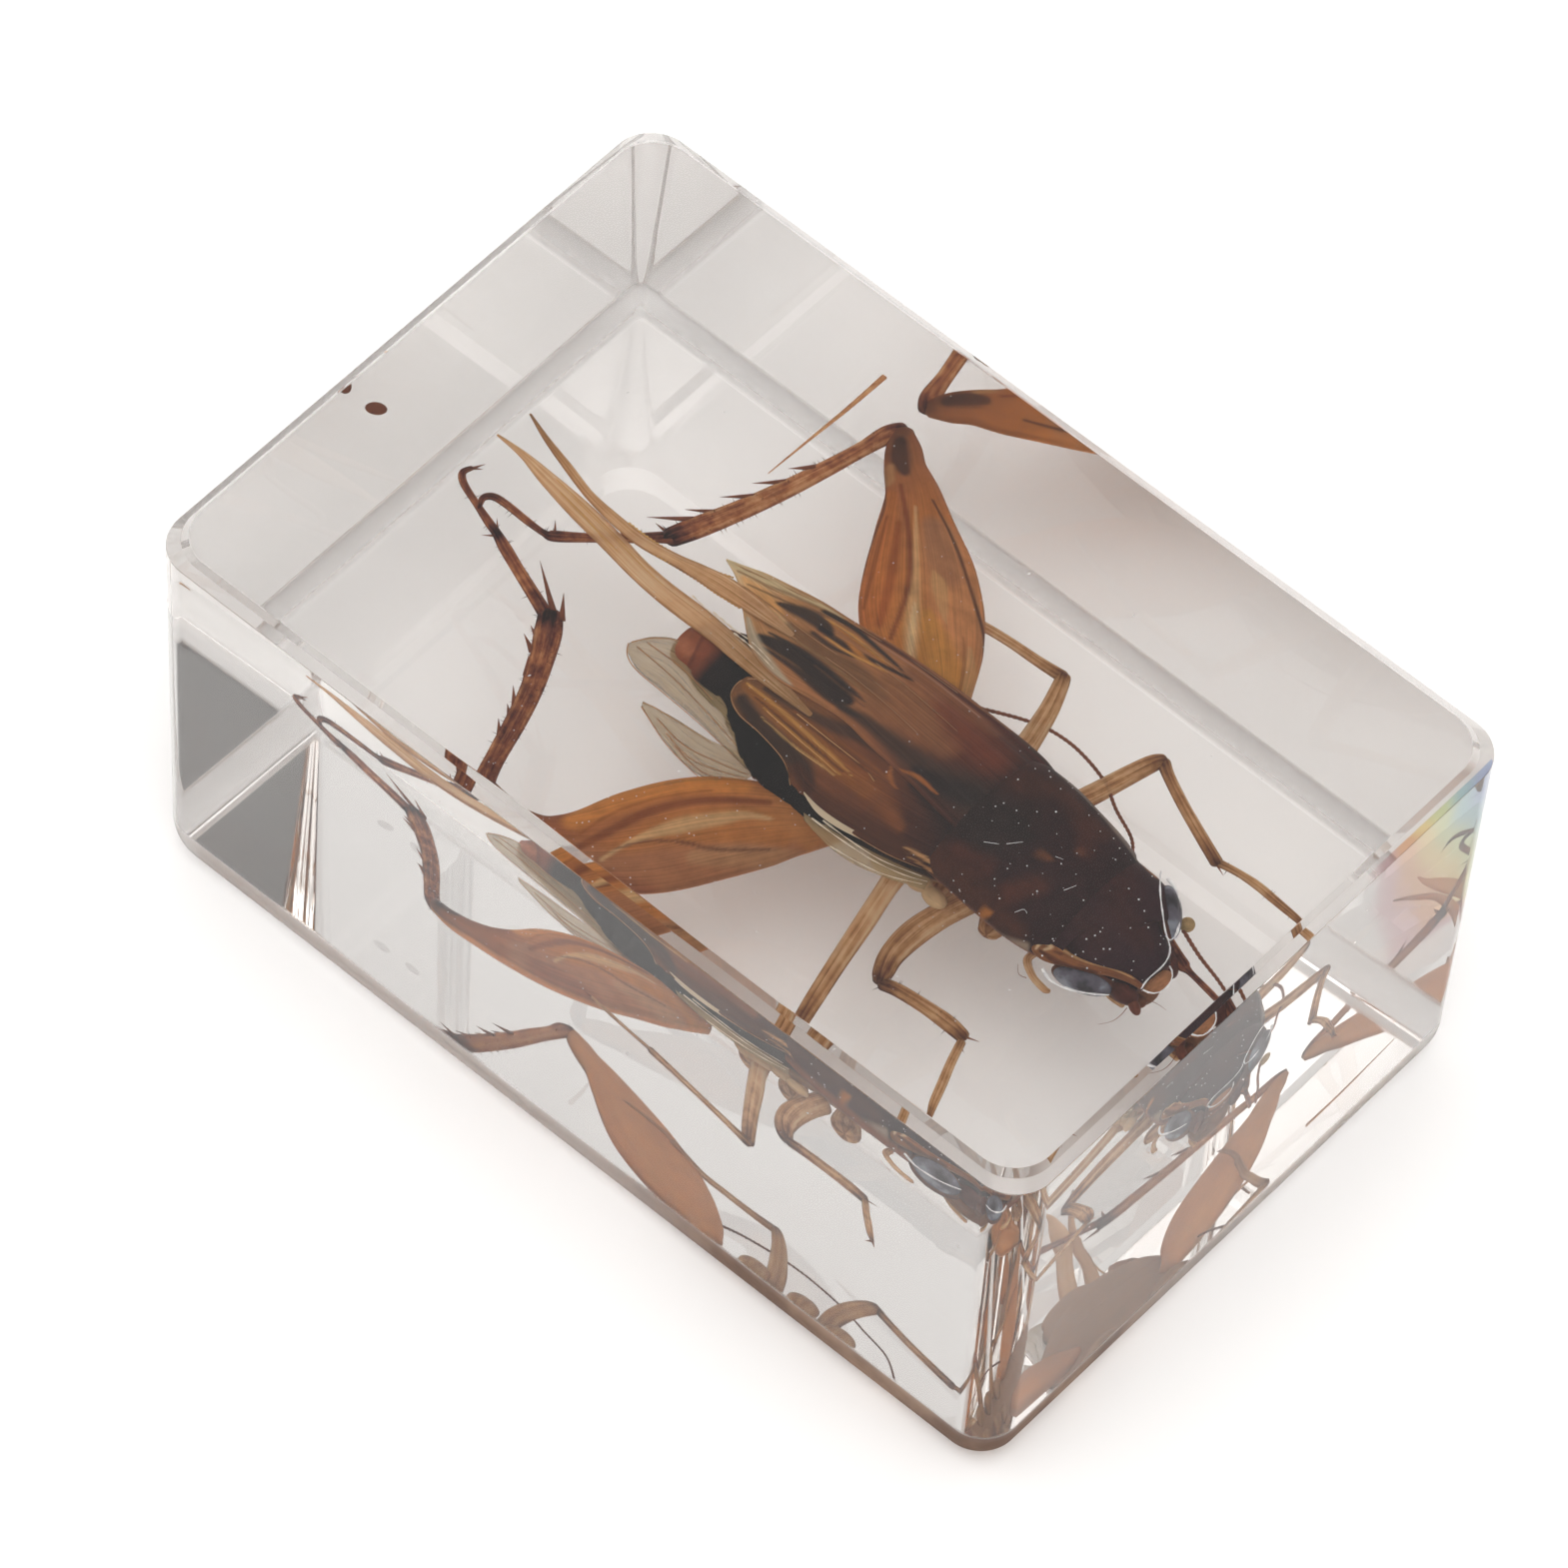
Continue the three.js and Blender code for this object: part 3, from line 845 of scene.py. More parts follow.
# %% Hind feet
riding(tube("right_hind_foot", [
    (-10.6, 3.15, 8.7, 0.28, 0.26, 0.8), (-11.6, 2.2, 8.6, 0.23, 0.22, 0.5),
    (-12.8, 1.1, 8.55, 0.21, 0.2, 0.48), (-13.9, 0.2, 8.5, 0.26, 0.24, 0.7),
    (-14.3, 0.02, 8.5, 0.15, 0.15, 0.85), (-15.2, 0.0, 8.5, 0.16, 0.15, 0.5),
    (-16.2, 0.05, 8.45, 0.17, 0.16, 0.6), (-16.9, 0.0, 8.4, 0.17, 0.16, 0.7),
    (-17.2, -0.3, 8.3, 0.15, 0.14, 0.7), (-17.0, -0.75, 8.2, 0.09, 0.09, 0.8)], leg_chitin, sides=18))
riding(tube("left_hind_foot", [
    (-11.7, -2.75, 8.3, 0.3, 0.26, 0.9), (-12.6, -2.4, 8.3, 0.28, 0.26, 0.48),
    (-13.9, -1.9, 8.25, 0.26, 0.24, 0.44), (-15.0, -1.45, 8.2, 0.26, 0.24, 0.55),
    (-15.7, -1.15, 8.15, 0.2, 0.2, 0.9), (-16.3, -0.95, 8.1, 0.19, 0.18, 0.6),
    (-17.2, -0.65, 8.15, 0.15, 0.15, 0.55), (-18.2, -0.3, 8.25, 0.16, 0.15, 0.6),
    (-18.6, 0.05, 8.3, 0.15, 0.14, 0.7), (-18.5, 0.45, 8.3, 0.11, 0.11, 0.75)], leg_chitin, sides=18))
print("hind feet made")

# %% Front and middle legs
def leg(name, thigh, shin, foot):
    riding(tube(name + "_thigh", thigh, pale_chitin, sides=26),
           tube(name + "_shin", shin, pale_chitin, sides=20),
           tube(name + "_foot", foot, pale_chitin, sides=16))


leg("right_middle",
    [(6.3, 3.2, 9.0, 0.5, 0.5, 0.45), (6.1, 4.6, 8.8, 0.5, 0.44, 0.38), (5.8, 5.9, 8.6, 0.46, 0.4, 0.36),
     (5.45, 7.2, 8.5, 0.4, 0.36, 0.4), (5.05, 8.3, 8.5, 0.34, 0.32, 0.5), (4.85, 8.75, 8.5, 0.3, 0.3, 0.75)],
    [(4.8, 8.75, 8.5, 0.28, 0.26, 0.7), (3.6, 8.65, 8.5, 0.24, 0.22, 0.4), (2.2, 8.6, 8.45, 0.22, 0.2, 0.36),
     (0.9, 8.5, 8.3, 0.22, 0.2, 0.4), (-0.6, 8.45, 7.6, 0.2, 0.2, 0.5)],
    [(-0.7, 8.45, 7.5, 0.15, 0.14, 0.5), (-1.8, 8.3, 7.2, 0.13, 0.12, 0.45),
     (-2.8, 8.0, 7.0, 0.12, 0.1, 0.6)])
leg("right_front",
    [(9.0, 3.0, 9.2, 0.45, 0.45, 0.5), (9.1, 4.4, 8.8, 0.46, 0.42, 0.5), (9.35, 5.7, 8.5, 0.45, 0.4, 0.42),
     (9.65, 7.0, 8.4, 0.42, 0.38, 0.45), (9.95, 8.05, 8.4, 0.38, 0.34, 0.55),
     (10.15, 8.45, 8.4, 0.3, 0.3, 0.75)],
    [(10.25, 8.4, 8.4, 0.28, 0.26, 0.75), (10.9, 8.0, 8.4, 0.25, 0.23, 0.55),
     (12.2, 7.35, 8.4, 0.25, 0.23, 0.48), (13.6, 6.75, 8.35, 0.26, 0.24, 0.5),
     (14.7, 6.3, 8.3, 0.27, 0.25, 0.75)],
    [(14.85, 6.35, 8.3, 0.18, 0.16, 0.6), (15.7, 6.5, 8.3, 0.17, 0.15, 0.42),
     (16.6, 6.55, 8.3, 0.2, 0.16, 0.42), (17.6, 6.5, 8.25, 0.19, 0.15, 0.5),
     (18.6, 6.45, 8.2, 0.16, 0.14, 0.65), (19.0, 6.4, 8.1, 0.1, 0.1, 0.75)])
leg("left_middle",
    [(6.3, -2.4, 9.2, 0.5, 0.45, 0.35), (6.5, -3.6, 8.95, 0.42, 0.38, 0.24),
     (6.85, -5.2, 8.75, 0.42, 0.38, 0.3), (7.3, -7.3, 8.6, 0.38, 0.36, 0.4),
     (7.75, -9.2, 8.5, 0.36, 0.34, 0.5), (8.1, -10.5, 8.5, 0.32, 0.32, 0.75)],
    [(8.15, -10.75, 8.5, 0.27, 0.26, 0.75), (7.2, -10.75, 8.75, 0.22, 0.2, 0.5),
     (5.6, -10.75, 9.15, 0.2, 0.18, 0.48), (4.0, -10.8, 9.55, 0.22, 0.2, 0.5),
     (3.2, -10.85, 9.75, 0.24, 0.22, 0.7)],
    [(3.1, -10.85, 9.8, 0.14, 0.13, 0.6), (2.2, -10.9, 9.95, 0.12, 0.11, 0.5),
     (1.2, -10.95, 10.15, 0.13, 0.12, 0.5), (0.2, -11.0, 10.4, 0.1, 0.1, 0.6)])
leg("left_front",
    [(9.2, -1.8, 9.1, 0.55, 0.5, 0.45), (8.75, -2.9, 8.7, 0.56, 0.5, 0.42),
     (8.45, -4.2, 8.35, 0.58, 0.48, 0.46), (8.45, -5.4, 8.1, 0.5, 0.44, 0.5),
     (8.7, -6.2, 8.0, 0.42, 0.38, 0.7), (8.85, -6.55, 8.0, 0.3, 0.3, 0.85)],
    [(9.05, -6.6, 8.0, 0.29, 0.27, 0.8), (9.7, -6.4, 7.95, 0.3, 0.28, 0.55),
     (10.9, -6.25, 7.9, 0.31, 0.28, 0.46), (12.0, -6.2, 7.85, 0.35, 0.29, 0.5),
     (12.75, -6.25, 7.8, 0.3, 0.28, 0.8)],
    [(12.9, -6.5, 7.8, 0.18, 0.17, 0.55), (13.2, -7.4, 7.8, 0.19, 0.16, 0.38),
     (13.6, -8.4, 7.8, 0.2, 0.16, 0.38), (13.95, -9.3, 7.8, 0.18, 0.15, 0.5),
     (14.25, -9.9, 7.75, 0.1, 0.1, 0.75)])
print("front and middle legs made")

# %% [markdown]
# ## Spines and claws
# The hind shins carry a row of movable spines and a crown of spurs at the foot, which the cricket jumps
# with, and most feet end in claws. Each is a thorn from a root to a tip.

# %% Spines, spurs and claws
right_spines = [((-10.4, 4.4, 8.9), (-11.8, 3.2, 8.95)), ((-9.9, 5.4, 8.8), (-11.0, 4.5, 8.9)),
                ((-9.45, 6.9, 8.8), (-10.4, 5.9, 8.9)), ((-9.05, 8.3, 8.7), (-9.95, 7.3, 8.8)),
                ((-8.7, 9.6, 8.7), (-9.4, 8.8, 8.8)), ((-9.5, 6.3, 8.4), (-10.2, 5.5, 8.1)),
                ((-9.0, 7.9, 8.3), (-9.8, 7.0, 8.0)), ((-10.5, 3.3, 8.6), (-11.5, 3.4, 8.4)),
                ((-10.3, 3.0, 9.0), (-11.0, 2.2, 9.2))]
left_spines = [((-11.4, -2.6, 8.5), (-13.5, -1.1, 8.6)), ((-11.7, -2.9, 8.2), (-13.6, -1.7, 8.2)),
               ((-11.0, -2.6, 8.5), (-11.8, -1.6, 8.6)), ((-11.0, -3.9, 8.2), (-11.8, -3.5, 8.2)),
               ((-10.9, -4.4, 8.3), (-11.7, -4.0, 8.3)), ((-10.3, -5.4, 8.3), (-10.9, -4.6, 8.3)),
               ((-9.8, -6.1, 8.3), (-10.5, -5.3, 8.3)), ((-9.55, -6.9, 8.2), (-10.35, -6.1, 8.3)),
               ((-9.05, -8.3, 8.1), (-9.75, -7.6, 8.2)), ((-9.4, -7.3, 7.95), (-10.1, -6.7, 7.7))]
riding(thorns("hind_shin_spines", right_spines + left_spines, 0.15, dark_chitin))
claws = [((-18.5, 0.45, 8.3), (-18.15, 0.75, 8.2)), ((-18.5, 0.4, 8.3), (-18.2, 0.95, 8.4)),
         ((-17.0, -0.75, 8.2), (-16.75, -1.0, 8.1)), ((-17.0, -0.7, 8.2), (-16.8, -0.85, 8.35)),
         ((14.25, -9.9, 7.75), (14.0, -10.35, 7.7)), ((14.25, -9.9, 7.75), (14.5, -10.35, 7.7)),
         ((19.0, 6.4, 8.1), (19.4, 6.55, 8.0)), ((19.0, 6.4, 8.1), (19.35, 6.2, 8.0)),
         ((0.2, -11.0, 10.4), (-0.2, -11.15, 10.5)), ((-2.8, 8.0, 7.0), (-3.2, 7.8, 6.95)),
         ((12.6, -6.3, 7.8), (13.4, -6.0, 7.8)), ((12.6, -6.4, 7.8), (13.3, -6.8, 7.8)),
         ((14.6, 6.3, 8.3), (15.3, 6.0, 8.3)), ((3.3, -10.85, 9.75), (2.6, -10.6, 9.6)),
         ((-13.9, 0.2, 8.5), (-14.4, 0.8, 8.5)), ((-15.6, -1.2, 8.15), (-16.1, -1.6, 8.1)),
         ((-15.6, -1.2, 8.15), (-16.2, -0.6, 8.2))]
riding(thorns("claws_and_foot_spurs", claws, 0.08, dark_chitin))
print("spines:", len(right_spines + left_spines), "claws and spurs:", len(claws))

# %% [markdown]
# ## Body
# Under the wings the abdomen is a black sack of rings that ends in a reddish tip. Each ring is a step in the
# width of the loft. In front of it the middle of the body carries the legs on six hips.

# %% Abdomen and thorax
RING_LENGTH = 1.4
ABDOMEN_END, ABDOMEN_FRONT = -7.0, 4.0


def body_stations():
    outline = [(-6.62, -0.6, 10.0, 0.78, 0.5), (-6.25, -0.55, 10.0, 1.08, 0.75),
               (-5.5, -0.35, 10.0, 1.38, 1.0), (-4.4, -0.25, 10.0, 1.8, 1.15), (-3.4, 0.05, 10.0, 2.45, 1.3),
               (-2.0, 0.3, 10.0, 3.3, 1.35), (-0.6, 0.35, 10.0, 3.75, 1.4), (0.5, 0.3, 10.0, 3.9, 1.4),
               (2.4, 0.3, 10.0, 3.85, 1.4), (4.5, 0.5, 10.1, 3.6, 1.45), (7.0, 0.8, 10.1, 3.3, 1.5),
               (9.0, 0.9, 10.1, 2.9, 1.5), (11.5, 0.7, 10.0, 2.6, 1.4)]
    stations = []
    for x, y, z, wide, high in fill_in(outline, 12):
        ring = ((x - ABDOMEN_END) / RING_LENGTH) % 1.0
        notch = 1.0 - 0.018 * (1 - smoothstep(0.0, 0.3, ring)) if x < ABDOMEN_FRONT else 1.0
        stations.append((x, y, z, wide * notch, high * notch, 0.5))
    return stations


body = tube("abdomen_and_thorax", body_stations(), body_chitin, sides=72, steps=1, cap=0.2)
riding(paint(body, [(-6.8, "#9a5636"), (-5.3, "#7c3f28"), (-4.7, "#1e1413"), (-3.0, "#120d0d"),
                    (4.0, "#120d0d"), (9.0, "#3a2620")], [
    ("#b06a48", 0.7, 0.7, [(-6.5, -0.9, 0.3), (-5.9, -1.0, 0.25)]),
    ("#6a3422", 0.8, 0.5, [(-6.1, 0.2, 0.06), (-5.7, -0.8, 0.08), (-5.5, -1.5, 0.06)])], under="#a57a58"))
hips = [(5.3, 2.6, 8.7), (5.6, -1.5, 8.7), (7.9, 2.5, 8.6), (7.6, -1.4, 8.5), (9.9, 2.2, 8.7),
        (10.2, -1.2, 8.6)]
for number, (x, y, z) in enumerate(hips):
    side = 1 if y > 0 else -1
    riding(tube("hip_%d" % (number + 1), [
        (x, y - 1.0 * side, z + 0.3, 0.5, 0.5, 0.5), (x + 0.1, y, z - 0.3, 0.75, 0.6, 0.42),
        (x + 0.3, y + 0.9 * side, z - 0.1, 0.5, 0.45, 0.5)], pale_chitin, sides=24))
print("abdomen points:", len(body.data.vertices), "hips:", len(hips))

# %% [markdown]
# ## Shield and head
# Behind the head sits the pronotum, a saddle with turned-down sides. The head is blunt and points forward and
# down, with a big eye on each side. Where the shiny head let go of the resin, a film of air is left, and it
# shines like silver.

# %% Shield and head
shield = tube("pronotum", [
    (7.4, 0.95, 10.8, 3.36, 1.72, 0.7), (8.0, 0.95, 10.85, 3.42, 1.8, 0.72),
    (9.0, 0.92, 10.8, 3.44, 1.78, 0.75), (10.2, 0.8, 10.7, 3.38, 1.74, 0.78),
    (11.6, 0.66, 10.6, 3.28, 1.68, 0.8), (12.6, 0.6, 10.5, 3.1, 1.62, 0.75),
    (13.1, 0.6, 10.45, 2.9, 1.5, 0.7)], shield_chitin, sides=120, steps=12, cap=0.05)
riding(paint(shield, [(7.4, "#3a1c17"), (8.6, "#301917"), (10.0, "#2a1617"), (11.5, "#301819"),
                      (13.1, "#2a1618")], [
    ("#241b1a", 0.85, 0.9, [(7.2, 0.8, 1.3), (8.6, 0.8, 1.0), (9.6, 0.8, 0.3)]),
    ("#241b1a", 0.7, 0.9, [(7.2, -0.5, 1.0), (8.8, -0.5, 0.5)]),
    ("#4c281a", 0.7, 0.9, [(7.6, -2.2, 0.7), (9.0, -2.2, 0.7), (10.6, -2.3, 0.5), (12.0, -2.3, 0.3)]),
    ("#4a2619", 0.6, 0.9, [(7.8, 2.6, 0.6), (9.0, 3.5, 0.5), (10.4, 3.2, 0.5), (11.4, 3.2, 0.4)]),
    ("#4a2319", 0.7, 0.9, [(8.0, -1.3, 0.3), (9.2, -1.2, 0.45)]),
    ("#54291a", 0.7, 0.9, [(10.7, -1.4, 0.4), (11.3, -0.5, 0.4)]),
    ("#482319", 0.7, 0.9, [(10.8, 2.9, 0.4), (11.6, 2.0, 0.35)]),
    ("#6e4024", 0.7, 0.8, [(10.55, 0.6, 0.22), (10.9, 0.7, 0.12)]),
    ("#5e3420", 0.7, 0.8, [(11.5, 1.8, 0.18)]),
    ("#a8672e", 0.9, 0.7, [(10.4, -2.5, 0.18), (10.6, -2.4, 0.1)]),
    ("#8a7a70", 0.7, 0.7, [(8.4, 4.25, 0.05), (10.4, 4.1, 0.12), (12.0, 3.75, 0.14), (13.0, 3.4, 0.06)]),
    ("#a08a76", 0.8, 0.6, [(10.8, -2.75, 0.06), (11.8, -2.7, 0.12), (12.5, -2.5, 0.14)])], under="#8a5236"))
head = tube("head", [
    (12.4, 0.6, 10.4, 2.9, 1.55, 0.8), (13.4, 0.65, 10.4, 2.85, 1.6, 0.85),
    (14.2, 0.6, 10.4, 2.72, 1.55, 0.9), (15.0, 0.22, 10.35, 2.05, 1.4, 0.9),
    (16.0, 0.12, 10.3, 1.42, 1.15, 0.9), (16.6, 0.02, 10.3, 1.05, 0.95, 0.85),
    (16.82, 0.0, 10.3, 0.9, 0.8, 0.8)], shield_chitin, sides=120, steps=12, cap=0.12)
riding(paint(head, [(12.4, "#2c171a"), (14.5, "#351d22"), (17.0, "#2c181f")], [
    ("#3c1d19", 0.7, 0.9, [(13.2, 2.3, 0.7), (14.2, 0.9, 0.6), (15.6, 0.6, 0.5)]),
    ("#3a1e1b", 0.6, 0.9, [(13.4, -0.4, 0.5), (14.6, -0.6, 0.5)]),
    ("#a86a38", 0.8, 0.6, [(13.4, 3.5, 0.12), (14.0, 3.4, 0.14)])], under="#8a5236"))
cheek = tube("left_cheek_ridge", [
    (12.55, -1.95, 10.75, 0.26, 0.3, 0.5), (13.0, -2.05, 10.8, 0.46, 0.36, 0.5),
    (13.5, -2.0, 10.9, 0.48, 0.34, 0.5), (14.2, -1.85, 10.95, 0.3, 0.28, 0.5),
    (14.9, -1.6, 10.95, 0.24, 0.24, 0.5), (15.6, -1.2, 10.95, 0.2, 0.2, 0.5),
    (16.3, -0.95, 10.95, 0.17, 0.18, 0.5), (16.85, -0.85, 10.8, 0.12, 0.14, 0.5)], mouth_chitin, sides=64,
             steps=12)
riding(paint(cheek, [(12.5, "#8a5836"), (13.4, "#a8683a"), (15.0, "#8f5530"), (16.8, "#8a5434")], [
    ("#f0cfa0", 0.85, 0.6, [(12.9, -2.35, 0.05), (12.9, -1.9, 0.1), (13.3, -1.95, 0.09), (13.2, -2.2, 0.06)]),
    ("#e2b077", 0.85, 0.6, [(13.4, -1.75, 0.06), (14.1, -1.7, 0.08), (14.8, -1.5, 0.06), (15.6, -1.1, 0.05),
                            (16.5, -0.85, 0.04)]),
    ("#5c3020", 0.85, 0.5, [(13.1, -2.35, 0.05), (13.8, -2.3, 0.1), (14.5, -2.05, 0.07), (15.3, -1.6, 0.05)]),
    ("#5c3020", 0.7, 0.5, [(13.5, -2.05, 0.04), (13.8, -1.95, 0.08)])], under="#a57a58"))
print("shield and head:", len(shield.data.vertices), len(head.data.vertices), "points")

# %% Eyes
def ellipsoid(name, centre, forward, half, material, colour=None, rings=20, sides=32):
    """half: how far it reaches ahead, to the side and up. With a colour it is painted all over."""
    ahead = Vector(forward).normalized()
    side = ahead.cross(Vector((0, 0, 1))).normalized()
    lift = side.cross(ahead)
    vertices, uvs = [], []
    for i in range(1, rings):
        polar = math.pi * i / rings
        for j in range(sides):
            turn = 2 * math.pi * j / sides
            vertices.append(Vector(centre) + ahead * half[0] * math.cos(polar)
                            + side * half[1] * math.sin(polar) * math.cos(turn)
                            + lift * half[2] * math.sin(polar) * math.sin(turn))
            uvs.append((i / rings, 0.5 + 0.5 * math.cos(turn)))
    faces = [(i * sides + j, i * sides + (j + 1) % sides, (i + 1) * sides + (j + 1) % sides,
              (i + 1) * sides + j)
             for i in range(rings - 2) for j in range(sides)]
    vertices += [Vector(centre) + ahead * half[0], Vector(centre) - ahead * half[0]]
    top, bottom = len(vertices) - 2, len(vertices) - 1
    faces += [(top, (j + 1) % sides, j) for j in range(sides)]
    faces += [(bottom, (rings - 2) * sides + j, (rings - 2) * sides + (j + 1) % sides) for j in range(sides)]
    piece = new_object(name, vertices, faces, material)
    set_point_uv(piece, uvs + [(0, 0.5), (1, 0.5)])
    make_normals_out(piece)
    return paint(piece, colour) if colour else piece


riding(ellipsoid("right_eye", (15.35, 2.6, 10.35), (0.7, -0.71, -0.05), (1.2, 0.5, 0.95), eye_lens),
       ellipsoid("left_eye", (14.95, -1.95, 10.15), (0.92, 0.38, -0.05), (1.18, 0.5, 0.85), eye_lens))
riding(ellipsoid("left_eye_socket", (14.9, -1.8, 9.95), (0.92, 0.38, -0.05), (1.32, 0.5, 1.0), mouth_chitin,
                 colour="#6a4030"),
       ellipsoid("right_eye_socket", (15.25, 2.45, 10.2), (0.7, -0.71, -0.05), (1.32, 0.46, 1.02),
                 mouth_chitin, colour="#5a3426"))
silver = [[(14.05, 3.6, 11.15), (14.45, 3.05, 11.45), (15.0, 2.45, 11.5), (16.0, 1.55, 11.3),
           (16.6, 1.15, 11.05), (16.88, 0.5, 11.0), (16.88, -0.5, 11.0), (16.95, -0.95, 10.85)],
          [(17.0, -0.9, 10.75), (17.3, -0.75, 10.6), (17.5, -0.4, 10.5), (17.5, 0.1, 10.5),
           (17.3, 0.5, 10.55), (17.05, 0.6, 10.8)]]
rims = [[(14.4, 3.6, 10.8), (15.0, 3.4, 10.85), (15.75, 2.7, 10.8), (16.25, 2.0, 10.8), (16.35, 1.5, 10.9),
         (16.1, 1.45, 11.1)],
        [(13.55, -2.7, 10.5), (14.1, -2.85, 10.35), (14.8, -2.68, 10.3), (15.5, -2.3, 10.3),
         (16.15, -1.85, 10.4)]]
# These silver lines are painted shine: white threads with a faint glow.
riding(threads("silver_head_lines", silver, 0.036, silver_shine_and_dust, joint_length=0.9, swell=0.3, taper=0.8),
       threads("silver_eye_rims", rims, 0.07, silver_shine_and_dust, joint_length=1.1, swell=0.35, taper=0.4))
joints = [((6.35, -2.75, 9.5), (0.75, 0.5, 0.3)), ((7.3, -2.6, 9.55), (0.6, 0.45, 0.3)),
          ((8.2, -2.75, 9.5), (0.6, 0.4, 0.28)), ((5.6, -2.95, 9.4), (0.6, 0.3, 0.22))]
for number, (place, half) in enumerate(joints):
    riding(ellipsoid("soft_joint_%d" % (number + 1), place, (1.0, 0.25 - 0.2 * number, 0.0), half,
                     wing_chitin, colour="#c9a67c"))
print("eyes and joints made")

# %% Mouthparts and feelers
riding(ellipsoid("left_mandible", (16.4, -1.25, 9.95), (0.95, 0.1, -0.1), (0.62, 0.42, 0.6), mouth_chitin,
                 colour="#5c2f26"),
       ellipsoid("mandible_tip", (17.05, -1.4, 9.85), (0.9, -0.5, -0.1), (0.42, 0.22, 0.3), mouth_chitin,
                 colour="#74402e"),
       ellipsoid("right_mandible", (16.6, 1.1, 9.4), (0.7, -0.4, -0.5), (0.7, 0.4, 0.5), mouth_chitin,
                 colour="#5c2f26"),
       ellipsoid("upper_lip", (17.12, -0.12, 10.4), (0.06, 1.0, 0.0), (0.68, 0.38, 0.32), mouth_chitin,
                 colour="#b57c55"),
       ellipsoid("lower_jaw", (15.7, -0.2, 8.9), (0.8, 0.0, -0.3), (1.5, 1.2, 0.7), mouth_chitin,
                 colour="#8a5a3c"))
riding(tube("left_palp", [(12.7, -1.9, 9.5, 0.15, 0.14, 0.5), (12.6, -2.4, 9.3, 0.17, 0.15, 0.4),
                          (13.2, -2.8, 9.2, 0.15, 0.14, 0.25), (13.9, -2.95, 9.2, 0.15, 0.13, 0.35),
                          (14.1, -2.9, 9.2, 0.1, 0.1, 0.5)], pale_chitin, sides=16),
       tube("left_lower_palp", [(15.2, -1.0, 8.7, 0.16, 0.14, 0.4), (15.7, -1.2, 8.4, 0.14, 0.13, 0.4),
                                (16.3, -1.1, 8.1, 0.14, 0.12, 0.45)],
            pale_chitin, sides=14),
       tube("right_palp", [(16.0, 1.9, 9.5, 0.2, 0.18, 0.7), (16.6, 1.65, 9.4, 0.24, 0.2, 0.8),
                           (17.1, 1.45, 9.35, 0.28, 0.22, 0.65), (17.5, 1.4, 9.3, 0.14, 0.13, 0.8),
                           (18.7, 1.25, 9.2, 0.14, 0.12, 0.6), (19.6, 1.1, 9.1, 0.1, 0.1, 0.6)],
            leg_chitin, sides=16),
       ellipsoid("right_feeler_root", (16.05, 2.9, 9.6), (0.2, 0.1, 1), (0.3, 0.34, 0.3), mouth_chitin,
                 colour="#c2a271"),
       ellipsoid("left_feeler_root", (16.9, -0.9, 9.2), (0.2, 0.1, 1), (0.25, 0.3, 0.3), mouth_chitin,
                 colour="#7a4a30"))
riding(threads("feelers", [
    [(16.1, 2.6, 9.6), (17.3, 2.15, 9.5), (18.6, 1.8, 9.4), (20.0, 1.3, 9.2)],
    [(2.2, 4.6, 8.8), (3.7, 5.5, 8.6), (5.2, 6.2, 8.6), (6.3, 6.5, 8.6), (7.6, 6.5, 8.6), (9.2, 6.1, 8.6),
     (10.4, 5.4, 8.6), (11.8, 4.7, 8.7), (12.6, 3.6, 9.2)]], 0.085, dark_chitin, joint_length=0.22,
               swell=0.18, taper=0.8))
riding(threads("mouth_bristles", [
    [(16.8, -1.5, 9.4), (16.8, -1.9, 9.2), (16.7, -2.3, 9.1), (16.4, -2.7, 9.0)],
    [(16.9, -0.9, 9.4), (17.3, -0.6, 9.3), (17.6, -0.5, 9.2), (17.9, -0.5, 9.2)],
    [(13.0, -2.9, 8.8), (12.7, -3.0, 8.9), (12.4, -2.7, 9.0)]], 0.018, dark_chitin, taper=0.3))
print("mouthparts and feelers made")

# %% [markdown]
# ## Wings
# The forewings lie over the back as two leathery lids. Dark patches are where the body or a fold lies under
# them, gold lines are their raised veins. Behind them the hindwings stick out, folded into two long
# straw-coloured tails, and some of their clear film has slipped out on the left.

# %% Forewings
def wing_height(x, y):
    """The lids arch over the body, bend down at their outer edges and dip under the shield."""
    side = abs(y - 0.9) / 3.8
    return 12.45 - 1.5 * side ** 2.4 - 0.9 * (1 - smoothstep(-8.0, 0.0, x)) - 0.5 * smoothstep(7.3, 8.6, x)


def on_wing(drop=0.0):
    def place(point):
        point.z = wing_height(point.x, point.y) - drop + 0.03 * math.sin(point.y * 9 + point.x)
        return point
    return place


